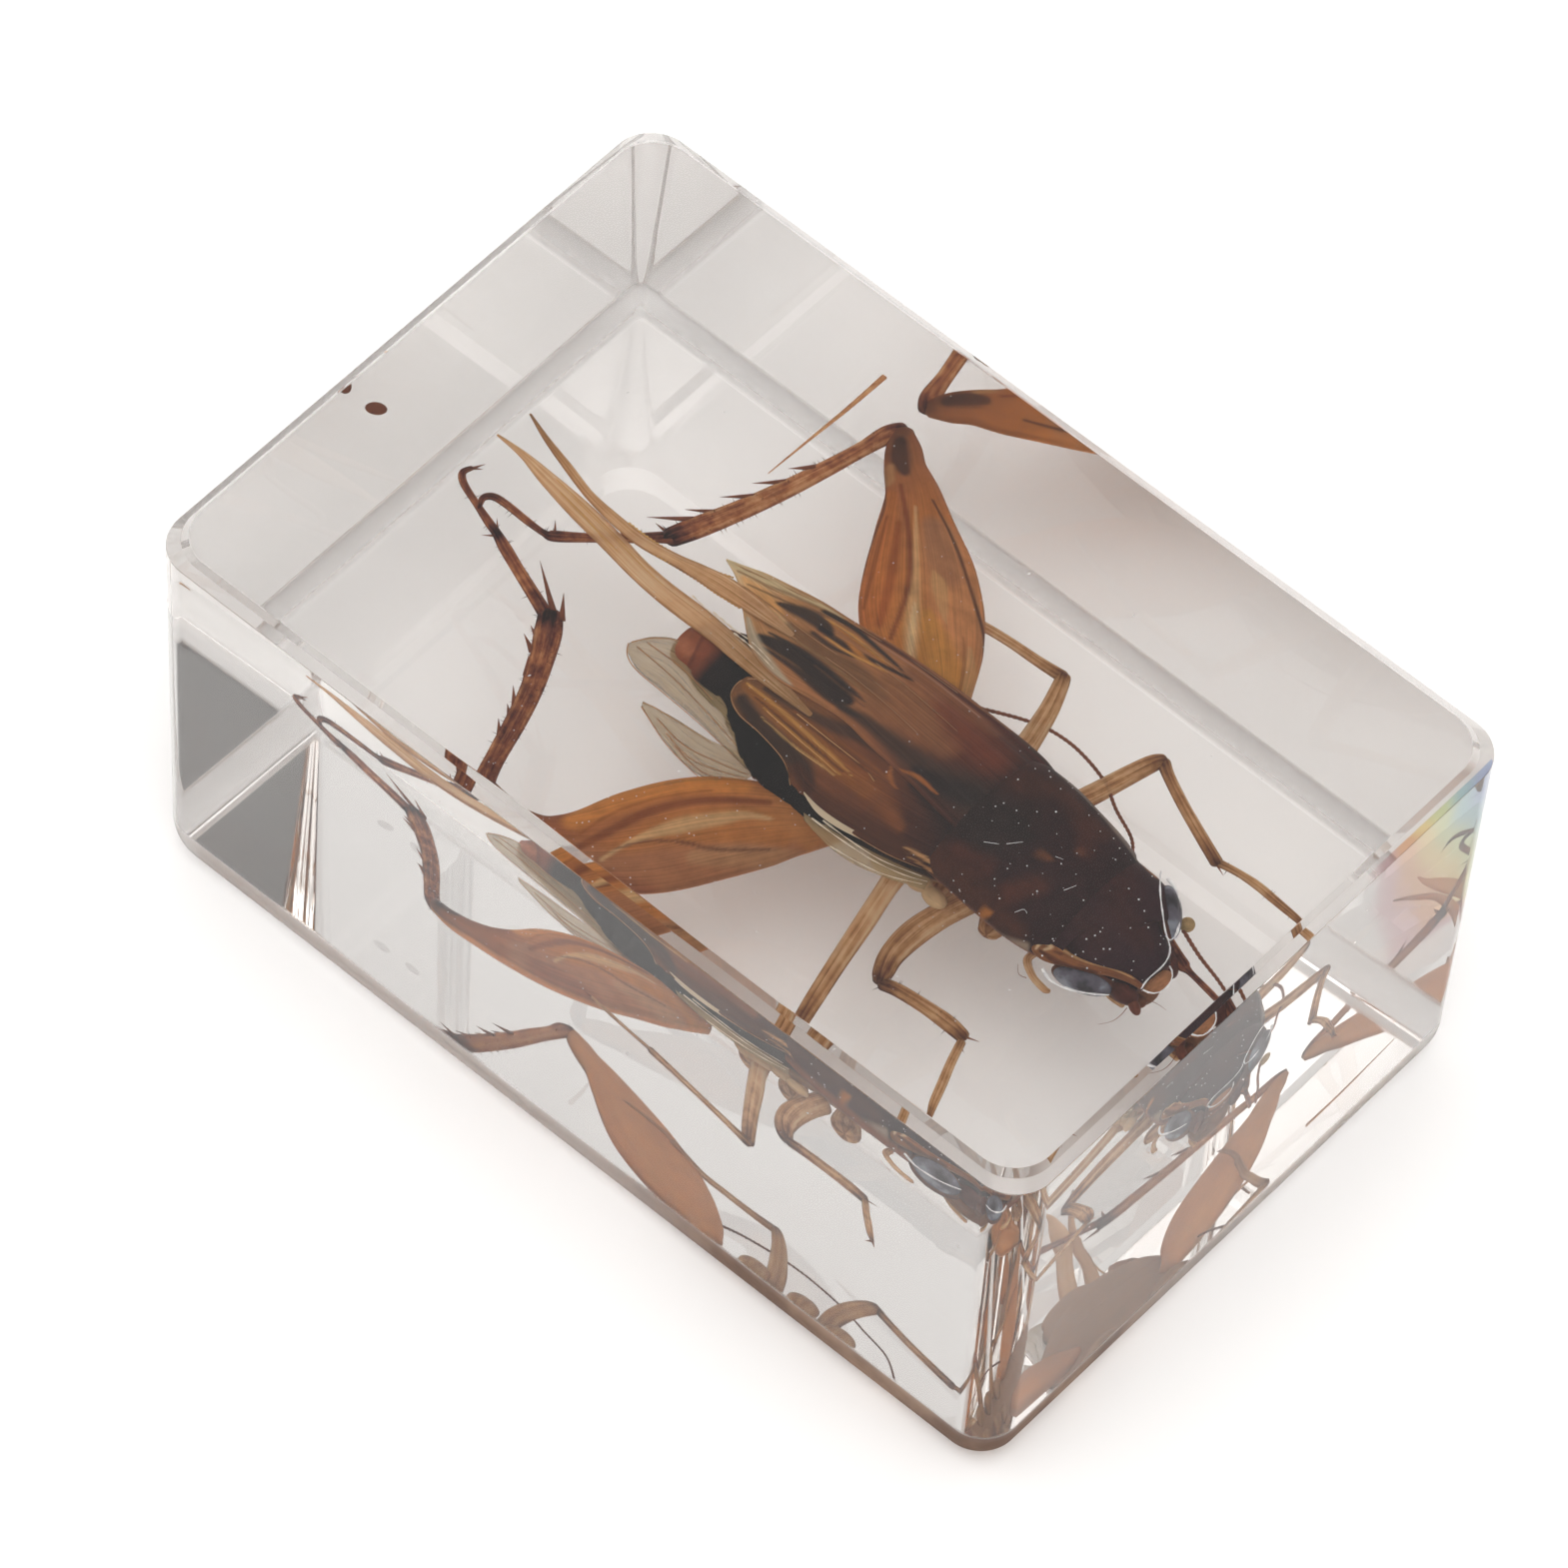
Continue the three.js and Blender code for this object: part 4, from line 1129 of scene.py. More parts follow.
right_wing = sheet("right_forewing", [
    (-7.6, 3.05, 11), (-6.6, 2.55, 11), (-5.4, 1.5, 11), (-3.9, 0.3, 11), (-2.4, -0.15, 11), (-0.5, 0.0, 11),
    (1.0, 0.1, 11), (2.5, -0.1, 11), (4.6, -0.3, 11), (6.5, -0.6, 11), (8.5, -0.8, 11)], [
    (-7.65, 3.1, 11), (-6.7, 3.5, 11), (-5.6, 3.85, 11), (-3.6, 4.2, 11), (-2.0, 4.3, 11), (0.4, 4.6, 11),
    (2.0, 4.7, 11), (3.3, 4.7, 11), (5.0, 4.65, 11), (6.5, 4.6, 11),
    (8.5, 4.3, 11)], wing_chitin, shape=on_wing(), steps=16, across_steps=72)
left_wing = sheet("left_forewing", [
    (-3.3, -1.0, 11), (-3.15, -1.7, 11), (-2.4, -2.1, 11), (-1.3, -2.2, 11), (0.0, -2.4, 11), (0.7, -2.7, 11),
    (1.2, -3.1, 11), (2.1, -3.2, 11), (3.3, -3.1, 11), (5.8, -2.9, 11), (8.5, -2.3, 11)], [
    (-3.2, -0.7, 11), (-2.7, -0.35, 11), (-1.8, 0.2, 11), (-1.0, 0.6, 11), (0.2, 0.9, 11), (1.0, 1.0, 11),
    (2.0, 1.0, 11), (3.0, 1.0, 11), (4.0, 1.0, 11), (6.0, 1.2, 11),
    (8.5, 1.4, 11)], wing_chitin, shape=on_wing(0.14), steps=16, across_steps=60)
WING_GROUND = [(-7.6, "#ecd0a2"), (-5.6, "#d8ab78"), (-4.6, "#b98554"), (-2.5, "#aa7145"), (0.5, "#a56a40"),
               (3.5, "#8a5234"), (5.5, "#582f22"), (7.4, "#391f1a"), (8.5, "#2b1917")]
BLACK, SOOT, GOLD, AMBER, RUST = "#221c1c", "#3a2a23", "#d69c4e", "#ad6c30", "#743620"
riding(paint(right_wing, WING_GROUND, [
    ("#d6c094", 0.8, 0.5, [(-7.5, 3.1, 0.12), (-6.6, 3.2, 0.3), (-5.2, 3.5, 0.28), (-3.6, 3.95, 0.12),
                           (-2.4, 4.1, 0.05)]),
    ("#8a6540", 0.7, 0.5, [(-6.9, 2.95, 0.05), (-5.4, 3.3, 0.07), (-4.0, 3.7, 0.08), (-2.4, 4.0, 0.05)]),
    ("#e3a35c", 0.6, 0.8, [(-6.5, 2.85, 0.15), (-5.8, 2.75, 0.28), (-5.0, 2.6, 0.28), (-4.3, 2.4, 0.15)]),
    ("#5f4029", 0.7, 0.5, [(-6.2, 2.7, 0.04), (-5.0, 2.95, 0.06), (-4.2, 3.2, 0.05)]),
    ("#dcb88a", 0.7, 0.5, [(-6.2, 2.2, 0.2), (-5.1, 2.1, 0.3), (-4.1, 2.1, 0.25), (-3.4, 2.1, 0.1)]),
    ("#6a4a2f", 0.75, 0.6, [(-3.5, 2.1, 0.3), (-1.8, 2.0, 0.45), (0.0, 2.1, 0.45), (1.2, 2.0, 0.3)]),
    ("#8f6a45", 0.7, 0.4, [(-4.4, 1.6, 0.05), (-2.6, 1.75, 0.07), (-0.6, 1.75, 0.07), (0.6, 1.6, 0.04)]),
    (AMBER, 0.8, 0.5, [(-2.6, 3.45, 0.1), (-1.8, 3.5, 0.16), (-0.9, 3.45, 0.14), (0.1, 3.4, 0.08)]),
    (BLACK, 0.92, 0.4, [(-4.7, 2.75, 0.08), (-4.1, 2.95, 0.28), (-3.3, 3.15, 0.38), (-2.6, 3.1, 0.3),
                        (-2.2, 3.0, 0.14)]),
    (BLACK, 0.95, 0.4, [(-3.2, 3.75, 0.14), (-1.9, 3.95, 0.15), (-0.6, 3.8, 0.13), (0.3, 3.7, 0.1),
                        (1.0, 3.6, 0.03)]),
    (BLACK, 0.9, 0.4, [(-2.6, 2.9, 0.16), (-1.3, 2.9, 0.13), (-0.2, 3.1, 0.11), (1.2, 3.45, 0.09),
                       (1.6, 3.5, 0.03)]),
    (BLACK, 0.85, 0.5, [(-2.7, 2.5, 0.1), (-1.7, 2.45, 0.1), (-0.8, 2.65, 0.05)]),
    (GOLD, 0.9, 0.5, [(-2.9, 3.5, 0.04), (-1.8, 3.55, 0.08), (-0.9, 3.5, 0.07), (0.4, 3.45, 0.03)]),
    ("#c07a38", 0.9, 0.5, [(-1.4, 3.1, 0.05), (-0.9, 3.0, 0.12), (-0.2, 2.9, 0.05)]),
    (GOLD, 0.8, 0.5, [(-2.2, 2.7, 0.04), (-1.2, 2.7, 0.06), (-0.3, 2.85, 0.06), (0.7, 3.1, 0.03)]),
    (BLACK, 0.96, 0.35, [(-4.1, 0.95, 0.16), (-3.2, 1.1, 0.34), (-2.2, 1.15, 0.36), (-1.1, 1.05, 0.42),
                         (0.0, 0.95, 0.4), (0.5, 0.9, 0.25)]),
    (BLACK, 0.9, 0.5, [(-3.9, 1.35, 0.05), (-2.6, 1.5, 0.12), (-1.0, 1.45, 0.14), (0.4, 1.35, 0.1),
                       (1.0, 1.3, 0.03)]),
    (BLACK, 0.9, 0.5, [(-3.6, 0.65, 0.06), (-2.0, 0.65, 0.14), (-0.4, 0.5, 0.18), (0.9, 0.55, 0.1),
                       (1.3, 0.6, 0.03)]),
    ("#b9a78c", 0.9, 0.6, [(-5.0, 1.35, 0.08), (-4.2, 0.75, 0.2), (-3.3, 0.35, 0.2), (-2.4, 0.1, 0.14),
                           (-1.6, 0.0, 0.04)]),
    ("#5a3a28", 0.7, 0.5, [(-1.6, 1.3, 0.03), (-0.6, 1.25, 0.05), (0.6, 1.15, 0.04), (1.2, 1.1, 0.02)]),
    (SOOT, 0.9, 0.7, [(0.5, 0.5, 0.18), (2.0, 0.65, 0.32), (3.7, 0.6, 0.55), (5.3, 0.6, 0.75),
                      (6.8, 0.8, 0.9), (8.0, 0.8, 1.0)]),
    (BLACK, 0.75, 0.7, [(4.6, 0.2, 0.3), (5.8, 0.4, 0.5), (6.8, 0.8, 0.5)]),
    ("#8f5d3a", 0.7, 0.8, [(1.2, 1.7, 0.5), (3.1, 1.9, 0.65), (4.6, 2.0, 0.5)]),
    ("#8a5a38", 0.6, 0.7, [(0.9, 2.8, 0.3), (2.4, 2.7, 0.4), (3.6, 2.4, 0.3)]),
    (RUST, 0.7, 0.9, [(3.4, 3.4, 0.5), (4.8, 3.0, 0.8), (6.2, 2.8, 0.7)]),
    ("#7d4a2b", 0.5, 0.6, [(1.2, 3.9, 0.3), (3.2, 3.9, 0.3), (5.4, 3.9, 0.2)]),
    ("#4a221b", 0.9, 0.4, [(-1.6, 4.15, 0.1), (0.4, 4.38, 0.13), (2.0, 4.45, 0.13), (3.3, 4.42, 0.12),
                           (5.5, 4.4, 0.1), (8.3, 4.1, 0.08)]),
    ("#b27f63", 0.7, 0.5, [(-1.0, 4.0, 0.03), (0.6, 4.15, 0.04), (2.4, 4.2, 0.04), (4.4, 4.15, 0.03)]),
    ("#9a6a48", 0.6, 0.6, [(1.4, 4.6, 0.03), (3.3, 4.65, 0.04), (5.6, 4.6, 0.03)]),
    ("#a8622f", 0.9, 0.4, [(4.0, -0.15, 0.03), (4.6, 0.05, 0.09), (5.2, 0.06, 0.09), (5.8, -0.02, 0.03)])],
             under="#a86c40"))
riding(paint(left_wing, [(-3.3, "#7a4f2e"), (-1.0, "#86552f"), (2.0, "#7a4629"), (4.0, "#643823"),
                         (5.5, "#4c2a1e"), (7.4, "#351d19"), (8.5, "#2b1917")], [
    ("#33251f", 0.9, 0.5, [(-2.7, -1.6, 0.25), (-1.6, -1.95, 0.3), (-0.3, -2.1, 0.34), (1.0, -2.3, 0.34),
                           (1.8, -2.7, 0.2)]),
    ("#4f2c1c", 0.8, 0.6, [(0.9, -2.5, 0.3), (2.2, -2.8, 0.3), (4.4, -2.7, 0.35), (6.8, -2.4, 0.3)]),
    (SOOT, 0.8, 0.6, [(-2.3, -0.7, 0.1), (-0.8, -0.6, 0.18), (0.8, -0.3, 0.26), (2.2, 0.1, 0.3),
                      (4.0, 0.2, 0.3), (6.0, 0.3, 0.4)]),
    ("#9c5f27", 0.75, 0.7, [(-3.0, -1.05, 0.14), (-1.2, -1.2, 0.26), (0.6, -1.35, 0.34), (2.4, -1.4, 0.36),
                            (3.6, -1.5, 0.3)]),
    ("#8a4f28", 0.7, 0.8, [(2.4, -1.2, 0.4), (3.6, -1.3, 0.5), (4.6, -1.6, 0.4), (5.6, -1.9, 0.2)]),
    (GOLD, 0.6, 0.5, [(-3.0, -0.95, 0.05), (-1.2, -1.05, 0.07), (0.4, -1.2, 0.07), (1.8, -1.3, 0.06),
                      (2.8, -1.45, 0.02)]),
    (GOLD, 0.55, 0.5, [(-1.8, -1.35, 0.03), (-0.2, -1.5, 0.05), (1.2, -1.6, 0.06), (2.4, -1.7, 0.03)]),
    ("#dcae66", 0.55, 0.5, [(-1.6, -1.7, 0.02), (0.0, -1.85, 0.04), (1.6, -1.8, 0.05), (2.2, -1.8, 0.02)]),
    ("#5b351f", 0.8, 0.4, [(-2.4, -1.2, 0.03), (-0.6, -1.35, 0.05), (1.0, -1.45, 0.05), (2.4, -1.55, 0.03)]),
    ("#5b351f", 0.7, 0.4, [(-1.8, -0.85, 0.03), (0.0, -0.9, 0.05), (2.0, -0.9, 0.06), (3.6, -1.0, 0.03)]),
    ("#8c5228", 0.7, 0.5, [(-0.8, -0.75, 0.04), (0.8, -0.75, 0.07), (2.6, -0.6, 0.08), (4.0, -0.7, 0.04)]),
    (BLACK, 0.7, 0.7, [(4.8, -0.3, 0.2), (6.2, -0.3, 0.5), (7.6, -0.4, 0.9)]),
    ("#a8622f", 0.85, 0.4, [(3.7, -0.2, 0.04), (3.9, -0.55, 0.09), (4.4, -0.8, 0.04)]),
    ("#c99562", 0.85, 0.4, [(6.2, -2.35, 0.03), (7.0, -2.25, 0.07), (7.9, -2.2, 0.03)]),
    ("#b07c4c", 0.8, 0.4, [(6.4, -2.55, 0.02), (7.5, -2.45, 0.05), (8.0, -2.35, 0.02)])], under="#a86c40"))


def over(surface, path, lift):
    return [(x, y, surface(x, y) + lift) for x, y in path]


left_rim = [(-2.6, -0.45), (-3.1, -0.75), (-3.32, -1.15), (-3.15, -1.7), (-2.4, -2.08), (-1.3, -2.2),
            (0.0, -2.42), (0.7, -2.7), (1.15, -3.05), (2.1, -3.2), (3.3, -3.12), (5.8, -2.92), (7.7, -2.45)]
riding(threads("left_forewing_rim", [over(wing_height, left_rim, -0.12)], 0.03, vein_chitin, taper=0.7))
gold_lines = [[(-2.9, -0.98), (-1.2, -1.08), (0.4, -1.24), (1.8, -1.34), (2.8, -1.5)],
              [(-1.6, -1.4), (0.0, -1.55), (1.4, -1.62), (2.2, -1.7)],
              [(-1.4, -1.75), (0.2, -1.88), (1.6, -1.84)],
              [(-0.6, -0.8), (1.0, -0.85), (2.8, -0.9), (3.6, -1.1)]]
riding(threads("left_forewing_veins", [over(wing_height, line, -0.1) for line in gold_lines], 0.018,
               gold_vein, taper=0.4))
wing_lines = [[(-7.4, 3.1), (-5.4, 3.62), (-3.6, 4.0), (-1.6, 4.15), (0.6, 4.4), (3.0, 4.5)],
              [(-7.0, 2.95), (-5.4, 3.2), (-3.6, 3.6), (-1.8, 3.8)],
              [(-6.2, 2.5), (-4.6, 2.45), (-3.0, 2.3), (-0.8, 2.3), (1.4, 2.3)],
              [(-5.0, 1.7), (-3.0, 1.8), (-0.6, 1.9), (1.6, 1.8), (3.4, 1.6)],
              [(-2.4, 3.5), (-0.8, 3.5), (1.0, 3.45), (3.0, 3.4)],
              [(-1.0, 3.05), (0.6, 3.1), (2.4, 3.0), (4.4, 2.8)]]
riding(threads("right_forewing_veins", [over(wing_height, line, 0.03) for line in wing_lines], 0.024,
               vein_chitin, taper=0.5))
print("forewing points:", len(right_wing.data.vertices), len(left_wing.data.vertices))

# %% Hindwing tails and film
riding(tube("main_tail", [
    (-18.65, 2.12, 9.0, 0.05, 0.04, 0.5), (-17.3, 2.1, 9.0, 0.17, 0.1, 0.36),
    (-15.9, 1.9, 9.0, 0.34, 0.16, 0.32), (-14.0, 1.65, 9.0, 0.48, 0.2, 0.38),
    (-12.0, 1.35, 9.1, 0.5, 0.22, 0.36), (-10.3, 0.95, 9.5, 0.48, 0.24, 0.38),
    (-8.7, 0.66, 10.0, 0.5, 0.24, 0.42), (-7.0, 0.45, 10.6, 0.52, 0.24, 0.42),
    (-5.5, 0.23, 11.2, 0.48, 0.22, 0.42), (-4.3, 0.0, 11.65, 0.46, 0.18, 0.42),
    (-3.0, -0.2, 12.0, 0.42, 0.14, 0.46), (-1.7, -0.35, 12.15, 0.3, 0.1, 0.55),
    (-0.2, -0.5, 12.22, 0.12, 0.05, 0.65)], straw_film, sides=32, steps=8))
riding(tube("second_tail", [
    (-18.4, 3.75, 9.0, 0.05, 0.04, 0.8), (-17.1, 3.28, 9.0, 0.13, 0.1, 0.65),
    (-15.6, 2.85, 9.0, 0.19, 0.13, 0.55), (-14.1, 2.42, 9.05, 0.2, 0.15, 0.5),
    (-12.5, 2.15, 9.3, 0.26, 0.16, 0.45), (-11.0, 2.0, 9.6, 0.28, 0.16, 0.46),
    (-9.4, 2.05, 10.1, 0.3, 0.16, 0.48), (-8.2, 2.05, 10.75, 0.38, 0.14, 0.46),
    (-6.9, 2.0, 11.45, 0.46, 0.1, 0.42), (-5.6, 1.95, 11.85, 0.42, 0.08, 0.42),
    (-4.4, 1.9, 12.02, 0.3, 0.06, 0.46), (-3.2, 1.85, 12.12, 0.12, 0.04, 0.5)],
    straw_film, sides=28, steps=8))
tail_lines = [[(-15.5, 2.05, 9.18), (-13.0, 1.75, 9.25), (-10.6, 1.3, 9.6), (-8.2, 0.85, 10.35),
               (-6.0, 0.5, 11.2), (-3.8, 0.15, 12.0)],
              [(-15.0, 1.7, 9.18), (-12.6, 1.3, 9.25), (-10.4, 0.8, 9.65), (-8.0, 0.45, 10.4),
               (-5.8, 0.1, 11.3), (-3.4, -0.3, 12.1)],
              [(-13.6, 1.5, 9.22), (-11.6, 1.0, 9.35), (-9.4, 0.55, 9.95), (-7.4, 0.2, 10.6),
               (-5.4, -0.1, 11.4)],
              [(-14.4, 1.85, 9.2), (-12.0, 1.5, 9.3), (-9.6, 0.95, 9.95), (-7.4, 0.6, 10.65),
               (-5.2, 0.3, 11.5), (-3.0, -0.1, 12.15)]]
riding(threads("tail_fibres", tail_lines, 0.02, gold_vein, taper=0.4))
fringe = [[(-6.4, 0.95, 10.95), (-5.2, 0.72, 11.5), (-4.0, 0.55, 12.05), (-2.9, 0.3, 12.3)],
          [(-5.0, 0.55, 11.6), (-3.8, 0.35, 12.1), (-2.6, 0.1, 12.3)],
          [(-7.6, 1.1, 10.55), (-6.4, 0.85, 11.0), (-5.0, 0.65, 11.6)]]
riding(threads("pale_tail_fringe", fringe, 0.035, cream_film, joint_length=0.5, swell=0.5, taper=0.3))
beads = [[(-12.0, 2.35, 9.4), (-10.6, 2.25, 9.75), (-9.0, 2.3, 10.25), (-7.8, 2.45, 10.75),
          (-6.9, 2.65, 11.1)],
         [(-10.2, 1.8, 9.85), (-9.0, 1.8, 10.25), (-7.8, 1.75, 10.7), (-6.8, 1.65, 11.1), (-5.6, 1.6, 11.6)]]
riding(threads("beaded_tail_edges", beads, 0.055, gold_vein, joint_length=0.2, swell=0.45, taper=0.8))
riding(sheet("hindwing_film_upper", [(-2.4, -1.8, 10.6), (-4.4, -1.6, 10.6), (-6.3, -0.8, 10.5),
                                     (-7.4, -1.3, 10.4), (-7.95, -2.2, 10.3)],
             [(-0.8, -3.4, 10.0), (-3.5, -3.0, 10.0), (-5.6, -2.9, 10.1), (-6.9, -2.85, 10.2),
              (-7.75, -2.5, 10.25)],
             clear_film, thickness=0.03, tone=lambda v: 0.25 + 0.35 * smoothstep(0.9, 1.0, v)),
       sheet("hindwing_film_lower", [(-0.4, -2.6, 10.0), (-2.6, -3.3, 10.0), (-4.4, -3.5, 10.0),
                                     (-5.8, -3.75, 10.0)],
             [(-0.6, -4.4, 9.7), (-2.4, -4.75, 9.6), (-4.2, -4.4, 9.7), (-5.7, -3.95, 9.9)],
             clear_film, thickness=0.03, tone=lambda v: 0.2 + 0.35 * smoothstep(0.92, 1.0, v)),
       sheet("hindwing_film_front", [(1.6, -2.9, 10.5), (3.4, -2.6, 10.4), (5.4, -2.4, 10.2),
                                     (7.6, -2.1, 10.1)],
             [(2.4, -3.7, 10.2), (4.0, -3.95, 10.1), (5.6, -3.75, 10.0), (7.8, -2.9, 10.0)],
             clear_film, thickness=0.03, tone=lambda v: 0.15))
film_veins = [[(-7.95, -2.2, 10.32), (-7.6, -2.65, 10.28), (-6.9, -2.9, 10.22), (-5.6, -2.95, 10.12),
               (-3.5, -3.05, 10.02), (-1.2, -3.3, 10.0)],
              [(-7.9, -2.1, 10.34), (-7.5, -1.5, 10.4), (-6.8, -0.95, 10.48), (-6.2, -0.8, 10.5)],
              [(-7.6, -2.1, 10.34), (-5.8, -2.2, 10.3), (-3.8, -2.5, 10.3), (-1.8, -2.9, 10.3)],
              [(-7.4, -1.7, 10.4), (-5.6, -1.7, 10.45), (-3.8, -2.0, 10.5)],
              [(-5.75, -3.8, 10.0), (-5.2, -3.65, 10.0), (-3.8, -3.5, 10.0), (-2.6, -3.4, 10.0)],
              [(-5.7, -3.95, 9.92), (-4.2, -4.45, 9.72), (-3.0, -4.7, 9.65), (-1.9, -4.8, 9.62)],
              [(-4.9, -3.95, 9.92), (-3.3, -4.15, 9.85), (-1.6, -3.8, 9.9), (-0.6, -3.5, 9.9)],
              [(-4.2, -4.2, 9.85), (-2.6, -4.4, 9.75), (-0.6, -3.7, 9.85)],
              [(-3.6, -4.4, 9.78), (-2.0, -4.55, 9.7), (-0.4, -3.9, 9.8)]]
riding(threads("hindwing_veins", film_veins, 0.03, vein_chitin, taper=0.6))
pale_lines = [[(2.0, -3.05, 10.7), (2.8, -3.15, 10.6), (4.0, -3.0, 10.6), (5.5, -2.75, 10.5)],
              [(2.6, -3.5, 10.4), (4.0, -3.45, 10.3), (5.5, -3.3, 10.2), (6.8, -3.0, 10.2),
               (7.7, -2.6, 10.2)],
              [(3.0, -3.3, 10.45), (4.4, -3.25, 10.35), (5.8, -3.1, 10.3), (7.4, -2.6, 10.3)],
              [(3.9, -3.9, 10.1), (5.3, -3.7, 10.1), (6.4, -3.4, 10.1), (7.6, -2.8, 10.1)]]
riding(threads("pale_hindwing_fibres", pale_lines, 0.035, cream_film, joint_length=1.3, swell=0.5, taper=0.4))
riding(sheet("pale_hindwing_fold", [(1.7, -2.95, 10.9), (2.6, -3.06, 10.85), (3.6, -3.02, 10.8),
                                    (4.8, -2.85, 10.8), (5.6, -2.75, 10.8)],
             [(1.75, -3.0, 10.85), (2.6, -3.26, 10.7), (3.6, -3.24, 10.65), (4.8, -3.0, 10.65),
              (5.6, -2.8, 10.65)], cream_film, thickness=0.03,
             tone=lambda v: 0.45))
print("hindwings made")

# %% [markdown]
# ## Dust, bubbles and hairs
# Nothing that is cast by hand is quite clean. White specks sit on the shell: partly dust, where the resin did
# not wet it, and partly painted glints, most of all on the main tail. Fine hairs stand on the shins and feet.
# Both are scattered on the faces of the pieces with a fixed seed, so that they come out the same each time.
# A few air bubbles, a loose bristle and a shed flake float free.

# %% Scattering tree
def scatter_tree(name, instance_kind, instance_settings, instance_values):
    tree, given, leaving = new_tree(name, [("Density", "NodeSocketFloat"), ("Size", "NodeSocketFloat"),
                                           ("Length", "NodeSocketFloat"),
                                           ("Seed", "NodeSocketInt"), ("Material", "NodeSocketMaterial")])
    spread = add_node(tree, "GeometryNodeDistributePointsOnFaces", {"distribute_method": "RANDOM"},
                      links={"Mesh": given["Geometry"], "Density": given["Density"], "Seed": given["Seed"]})
    shape = add_node(tree, instance_kind, instance_settings, instance_values)
    chance = add_node(tree, "FunctionNodeRandomValue", {"data_type": "FLOAT"}, {2: 0.35, 3: 1.6},
                      {"Seed": given["Seed"]})
    wide = add_node(tree, "ShaderNodeMath", {"operation": "MULTIPLY"},
                    links={0: chance.outputs[1], 1: given["Size"]})
    tall = add_node(tree, "ShaderNodeMath", {"operation": "MULTIPLY"},
                    links={0: chance.outputs[1], 1: given["Length"]})
    scale = add_node(tree, "ShaderNodeCombineXYZ",
                     links={"X": wide.outputs[0], "Y": wide.outputs[0], "Z": tall.outputs[0]})
    placed = add_node(tree, "GeometryNodeInstanceOnPoints",
                      links={"Points": spread.outputs["Points"], "Instance": shape.outputs["Mesh"],
                             "Rotation": spread.outputs["Rotation"], "Scale": scale.outputs[0]})
    close_tree(tree, placed.outputs[0], given["Material"], leaving)
    return tree


speck_tree = scatter_tree("specks", "GeometryNodeMeshIcoSphere", {}, {"Radius": 1.0, "Subdivisions": 2})
hair_tree = scatter_tree("hairs", "GeometryNodeMeshCone", {"fill_type": "NGON"},
                         {"Radius Top": 0.1, "Radius Bottom": 1.0, "Depth": 1.0, "Side Segments": 1,
                          "Vertices": 5})


def scatter(name, source, tree, per_mm2, size, length, seed, material):
    return grow(name, source.data.copy(), tree,
                {"Density": per_mm2 * 1e6, "Size": size * MM, "Length": length * MM, "Seed": seed,
                 "Material": material})


# White specks: partly dust, partly painted glints, most of all on the main tail.
dust_and_glints = (("left_cheek_ridge", 1.0, 0.026), ("head", 1.5, 0.026), ("pronotum", 1.2, 0.024),
         ("right_forewing", 0.4, 0.018), ("left_forewing", 0.5, 0.02), ("right_hind_thigh", 0.8, 0.02),
         ("left_hind_thigh", 0.9, 0.022), ("abdomen_and_thorax", 0.2, 0.024),
         ("main_tail", 1.6, 0.018), ("left_hind_shin", 1.0, 0.02), ("left_front_thigh", 1.0, 0.022),
         ("left_front_shin", 1.0, 0.02))  # piece, specks on each mm2, speck size in mm
for number, (name, per_mm2, size) in enumerate(dust_and_glints):
    source = bpy.data.objects[name]
    riding(scatter("dust_%s" % name, source, speck_tree, per_mm2, size, 0.8 * size, 11 + number, silver_shine_and_dust))
hairy = ("right_hind_foot", "left_hind_foot", "left_hind_shin", "right_hind_shin", "left_front_shin",
         "right_front_foot")
for number, name in enumerate(hairy):
    source = bpy.data.objects[name]
    riding(scatter("hairs_%s" % name, source, hair_tree, 5.0, 0.012, 0.16, 31 + number, dark_chitin))
bubbles = [(3.6, -7.9, 11.4), (5.0, -9.4, 12.2), (9.9, -6.9, 11.0), (13.5, -4.6, 11.5), (-2.0, -6.0, 12.5),
           (1.5, 10.4, 12.0), (14.5, 8.9, 13.0), (-12.2, 8.1, 12.0), (-9.0, -6.8, 13.0),
           (17.8, -8.0, 10.5), (6.2, 11.0, 14.0), (-15.4, 6.0, 12.6), (11.6, 9.6, 9.4), (2.4, -12.2, 9.2)]
for number, place in enumerate(bubbles):
    half = (0.05 + 0.01 * (number % 3), 0.035, 0.03)
    riding(ellipsoid("air_bubble_%d" % (number + 1), place, (1, 0.3 * number, 0.4), half, silver_shine_and_dust, rings=8,
                     sides=12))
scratches = [[(9.3, 0.0, 12.62), (9.7, 0.5, 12.62)], [(12.2, 0.0, 12.25), (12.4, 0.5, 12.25)],
             [(8.6, -0.5, 12.55), (9.1, -0.2, 12.62)],
             [(11.4, -1.9, 11.8), (11.6, -1.6, 11.95), (11.8, -1.65, 11.9)],
             [(11.0, 0.9, 12.45), (11.3, 1.0, 12.45)]]
riding(threads("dust_fibres", scratches, 0.012, silver_shine_and_dust, taper=0.6))
bristle = [(-8.0, 12.6, 15.2), (-8.0, 10.4, 15.25), (-8.1, 8.2, 15.2), (-8.2, 6.0, 15.1)]
riding(threads("stray_bristle", [bristle], 0.13, leg_chitin, taper=0.15),
       ellipsoid("shed_flake", (-21.05, -2.4, 15.9), (1, 0.5, 0.2), (0.45, 0.3, 0.2), dark_chitin, rings=10,
                 sides=16))
print("dusty pieces:", len(dust_and_glints), "hairy pieces:", len(hairy), "bubbles:", len(bubbles))

# %% [markdown]
# ## Cooling colours
# Where the resin cured fastest, near one upper corner, it is under strain and splits light into pale rainbow
# bands. That is drawn with one clear film just inside the wall. It doesn't bend light, since its index is 1,
# and only tints it, in bands round the corner that fade out at the film's lower edge.

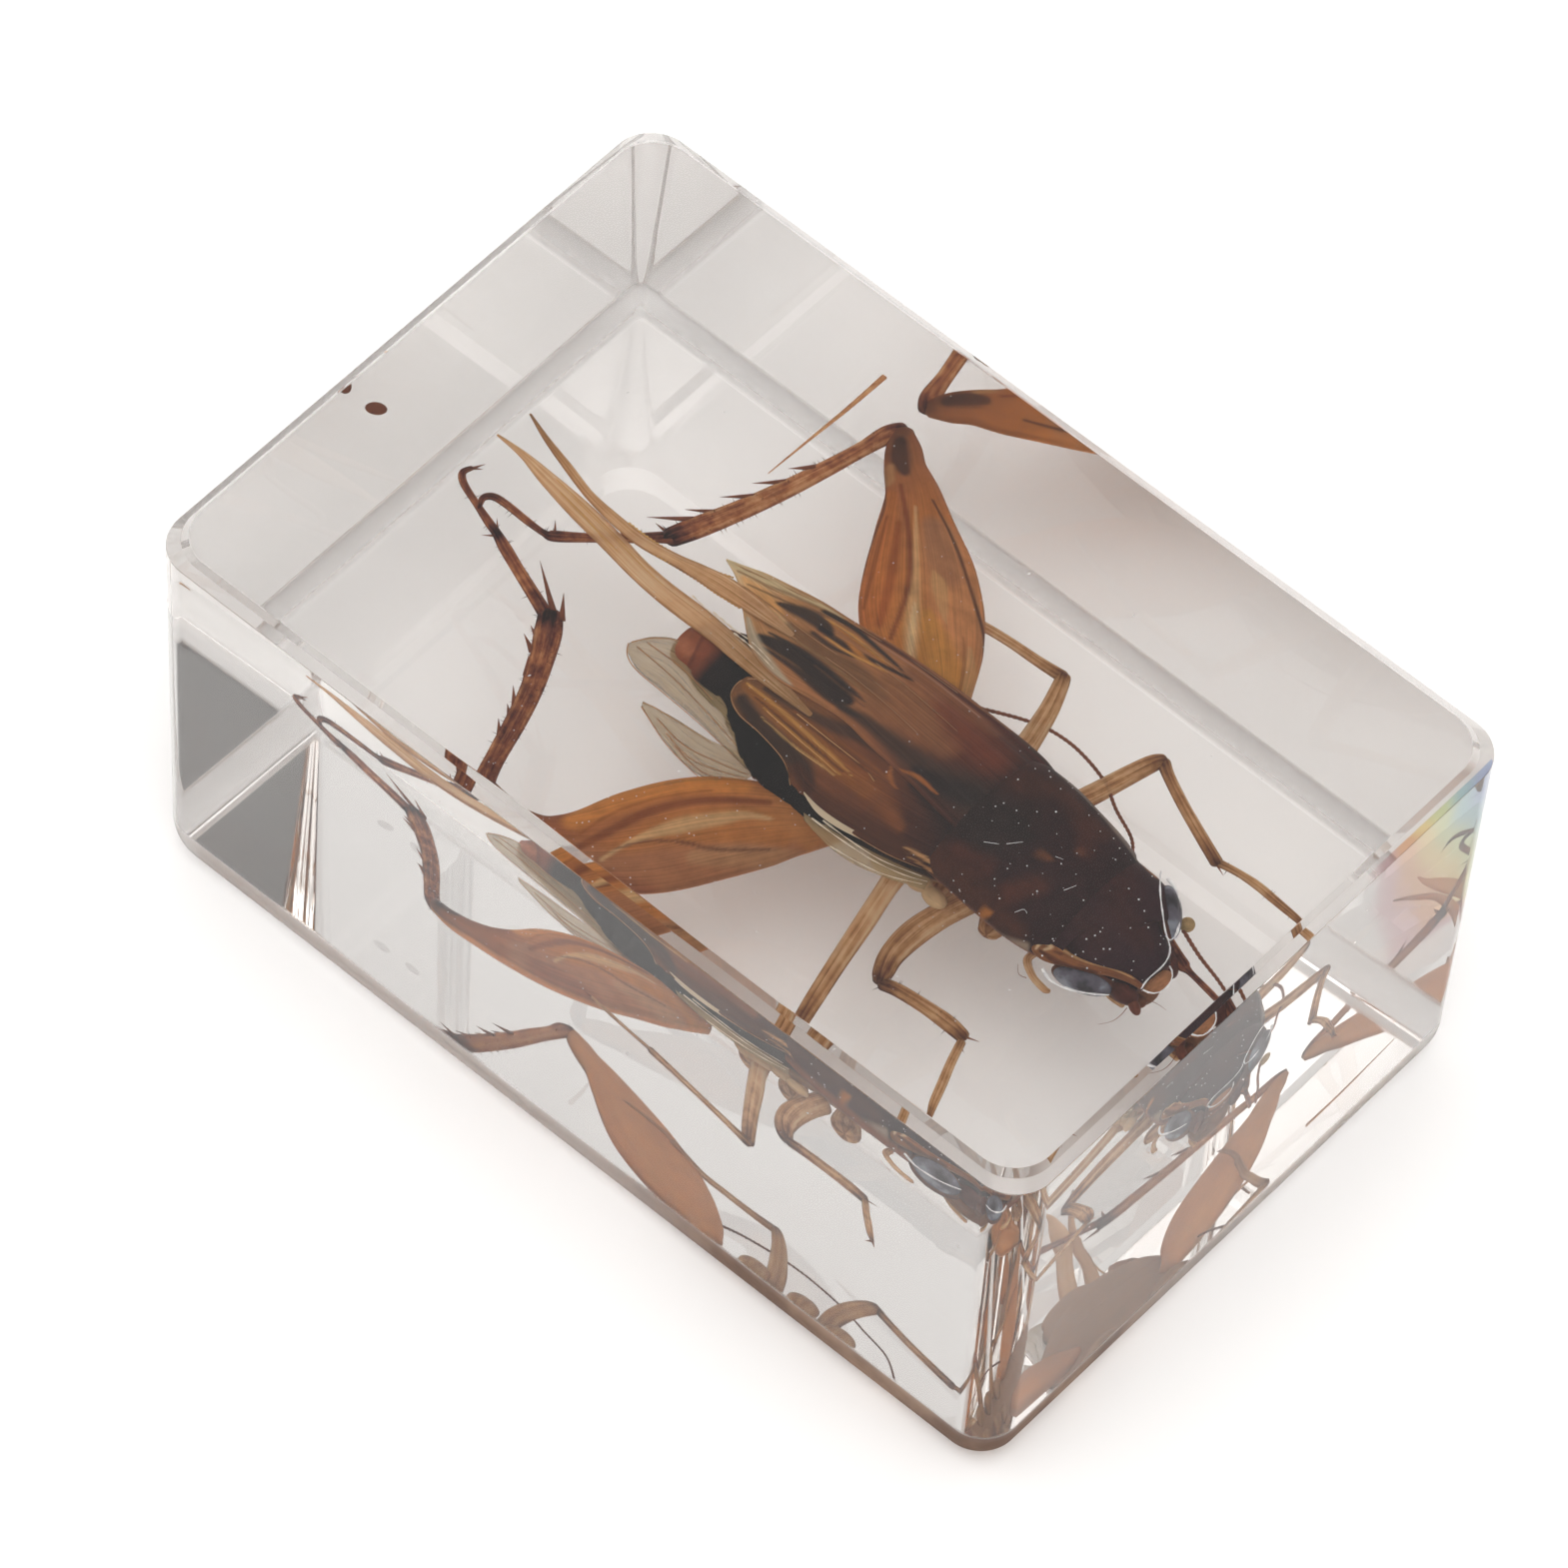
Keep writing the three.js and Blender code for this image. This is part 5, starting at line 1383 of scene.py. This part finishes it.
# %% Rainbow film
WALL_CORNER, BAND_ASIDE, BAND_DOWN = 14.3, 9.0, 26.0  # mm: where the bands start, and how far they run
FADE_START, FADE_END = 11.0, 7.6  # mm above the foot, where the colours fade towards the film's lower edge
BANDS = [(0.0, "#e6e0f2"), (0.14, "#c3d3f3"), (0.27, "#c4e4ea"), (0.4, "#e4efc2"), (0.52, "#f9e6b0"),
         (0.66, "#f2c7a6"), (0.8, "#ecd0d4"), (1.0, "#ffffff")]
rainbow, tree, shader = new_material("clear film with strain colours", {
    "Roughness": 0.0, "IOR": 1.0, "Transmission Weight": 1.0})
where = add_node(tree, "ShaderNodeTexCoord").outputs["Object"]
place = add_node(tree, "ShaderNodeSeparateXYZ", links={"Vector": where})
wobble = add_node(tree, "ShaderNodeTexNoise", values={"Scale": 1 / (5 * MM), "Detail": 3.0,
                                                      "Distortion": 0.6},
                  links={"Vector": where})
total = add_node(tree, "ShaderNodeMath", {"operation": "MULTIPLY_ADD"}, {1: 0.5, 2: -0.25},
                 {0: wobble.outputs["Fac"]}).outputs[0]
for axis, corner, reach in (("Y", WALL_CORNER, BAND_ASIDE), ("Z", BLOCK_HEIGHT, BAND_DOWN)):
    away = add_node(tree, "ShaderNodeMath", {"operation": "MULTIPLY_ADD"},
                    {1: -1 / (reach * MM), 2: corner / reach}, {0: place.outputs[axis]})
    total = add_node(tree, "ShaderNodeMath", {"operation": "ADD"},
                     links={0: total, 1: away.outputs[0]}).outputs[0]
fade = add_node(tree, "ShaderNodeMapRange", values={"From Min": FADE_START * MM, "From Max": FADE_END * MM},
                links={"Value": place.outputs["Z"]})
total = add_node(tree, "ShaderNodeMath", {"operation": "ADD"},
                 links={0: total, 1: fade.outputs["Result"]}).outputs[0]
tree.links.new(colour_steps(tree, total, BANDS), shader.inputs["Base Color"])
riding(sheet("strain_film", [(21.2, 4.0, 7.5), (21.2, 7.0, 7.0), (21.2, 10.5, 7.0), (21.2, 13.4, 7.5)],
             [(21.5, 4.0, 19.3), (21.5, 7.0, 19.4), (21.5, 10.5, 19.4), (21.5, 13.5, 19.4)], rainbow,
             thickness=0.02, steps=4, across_steps=16))
print("rainbow film made")
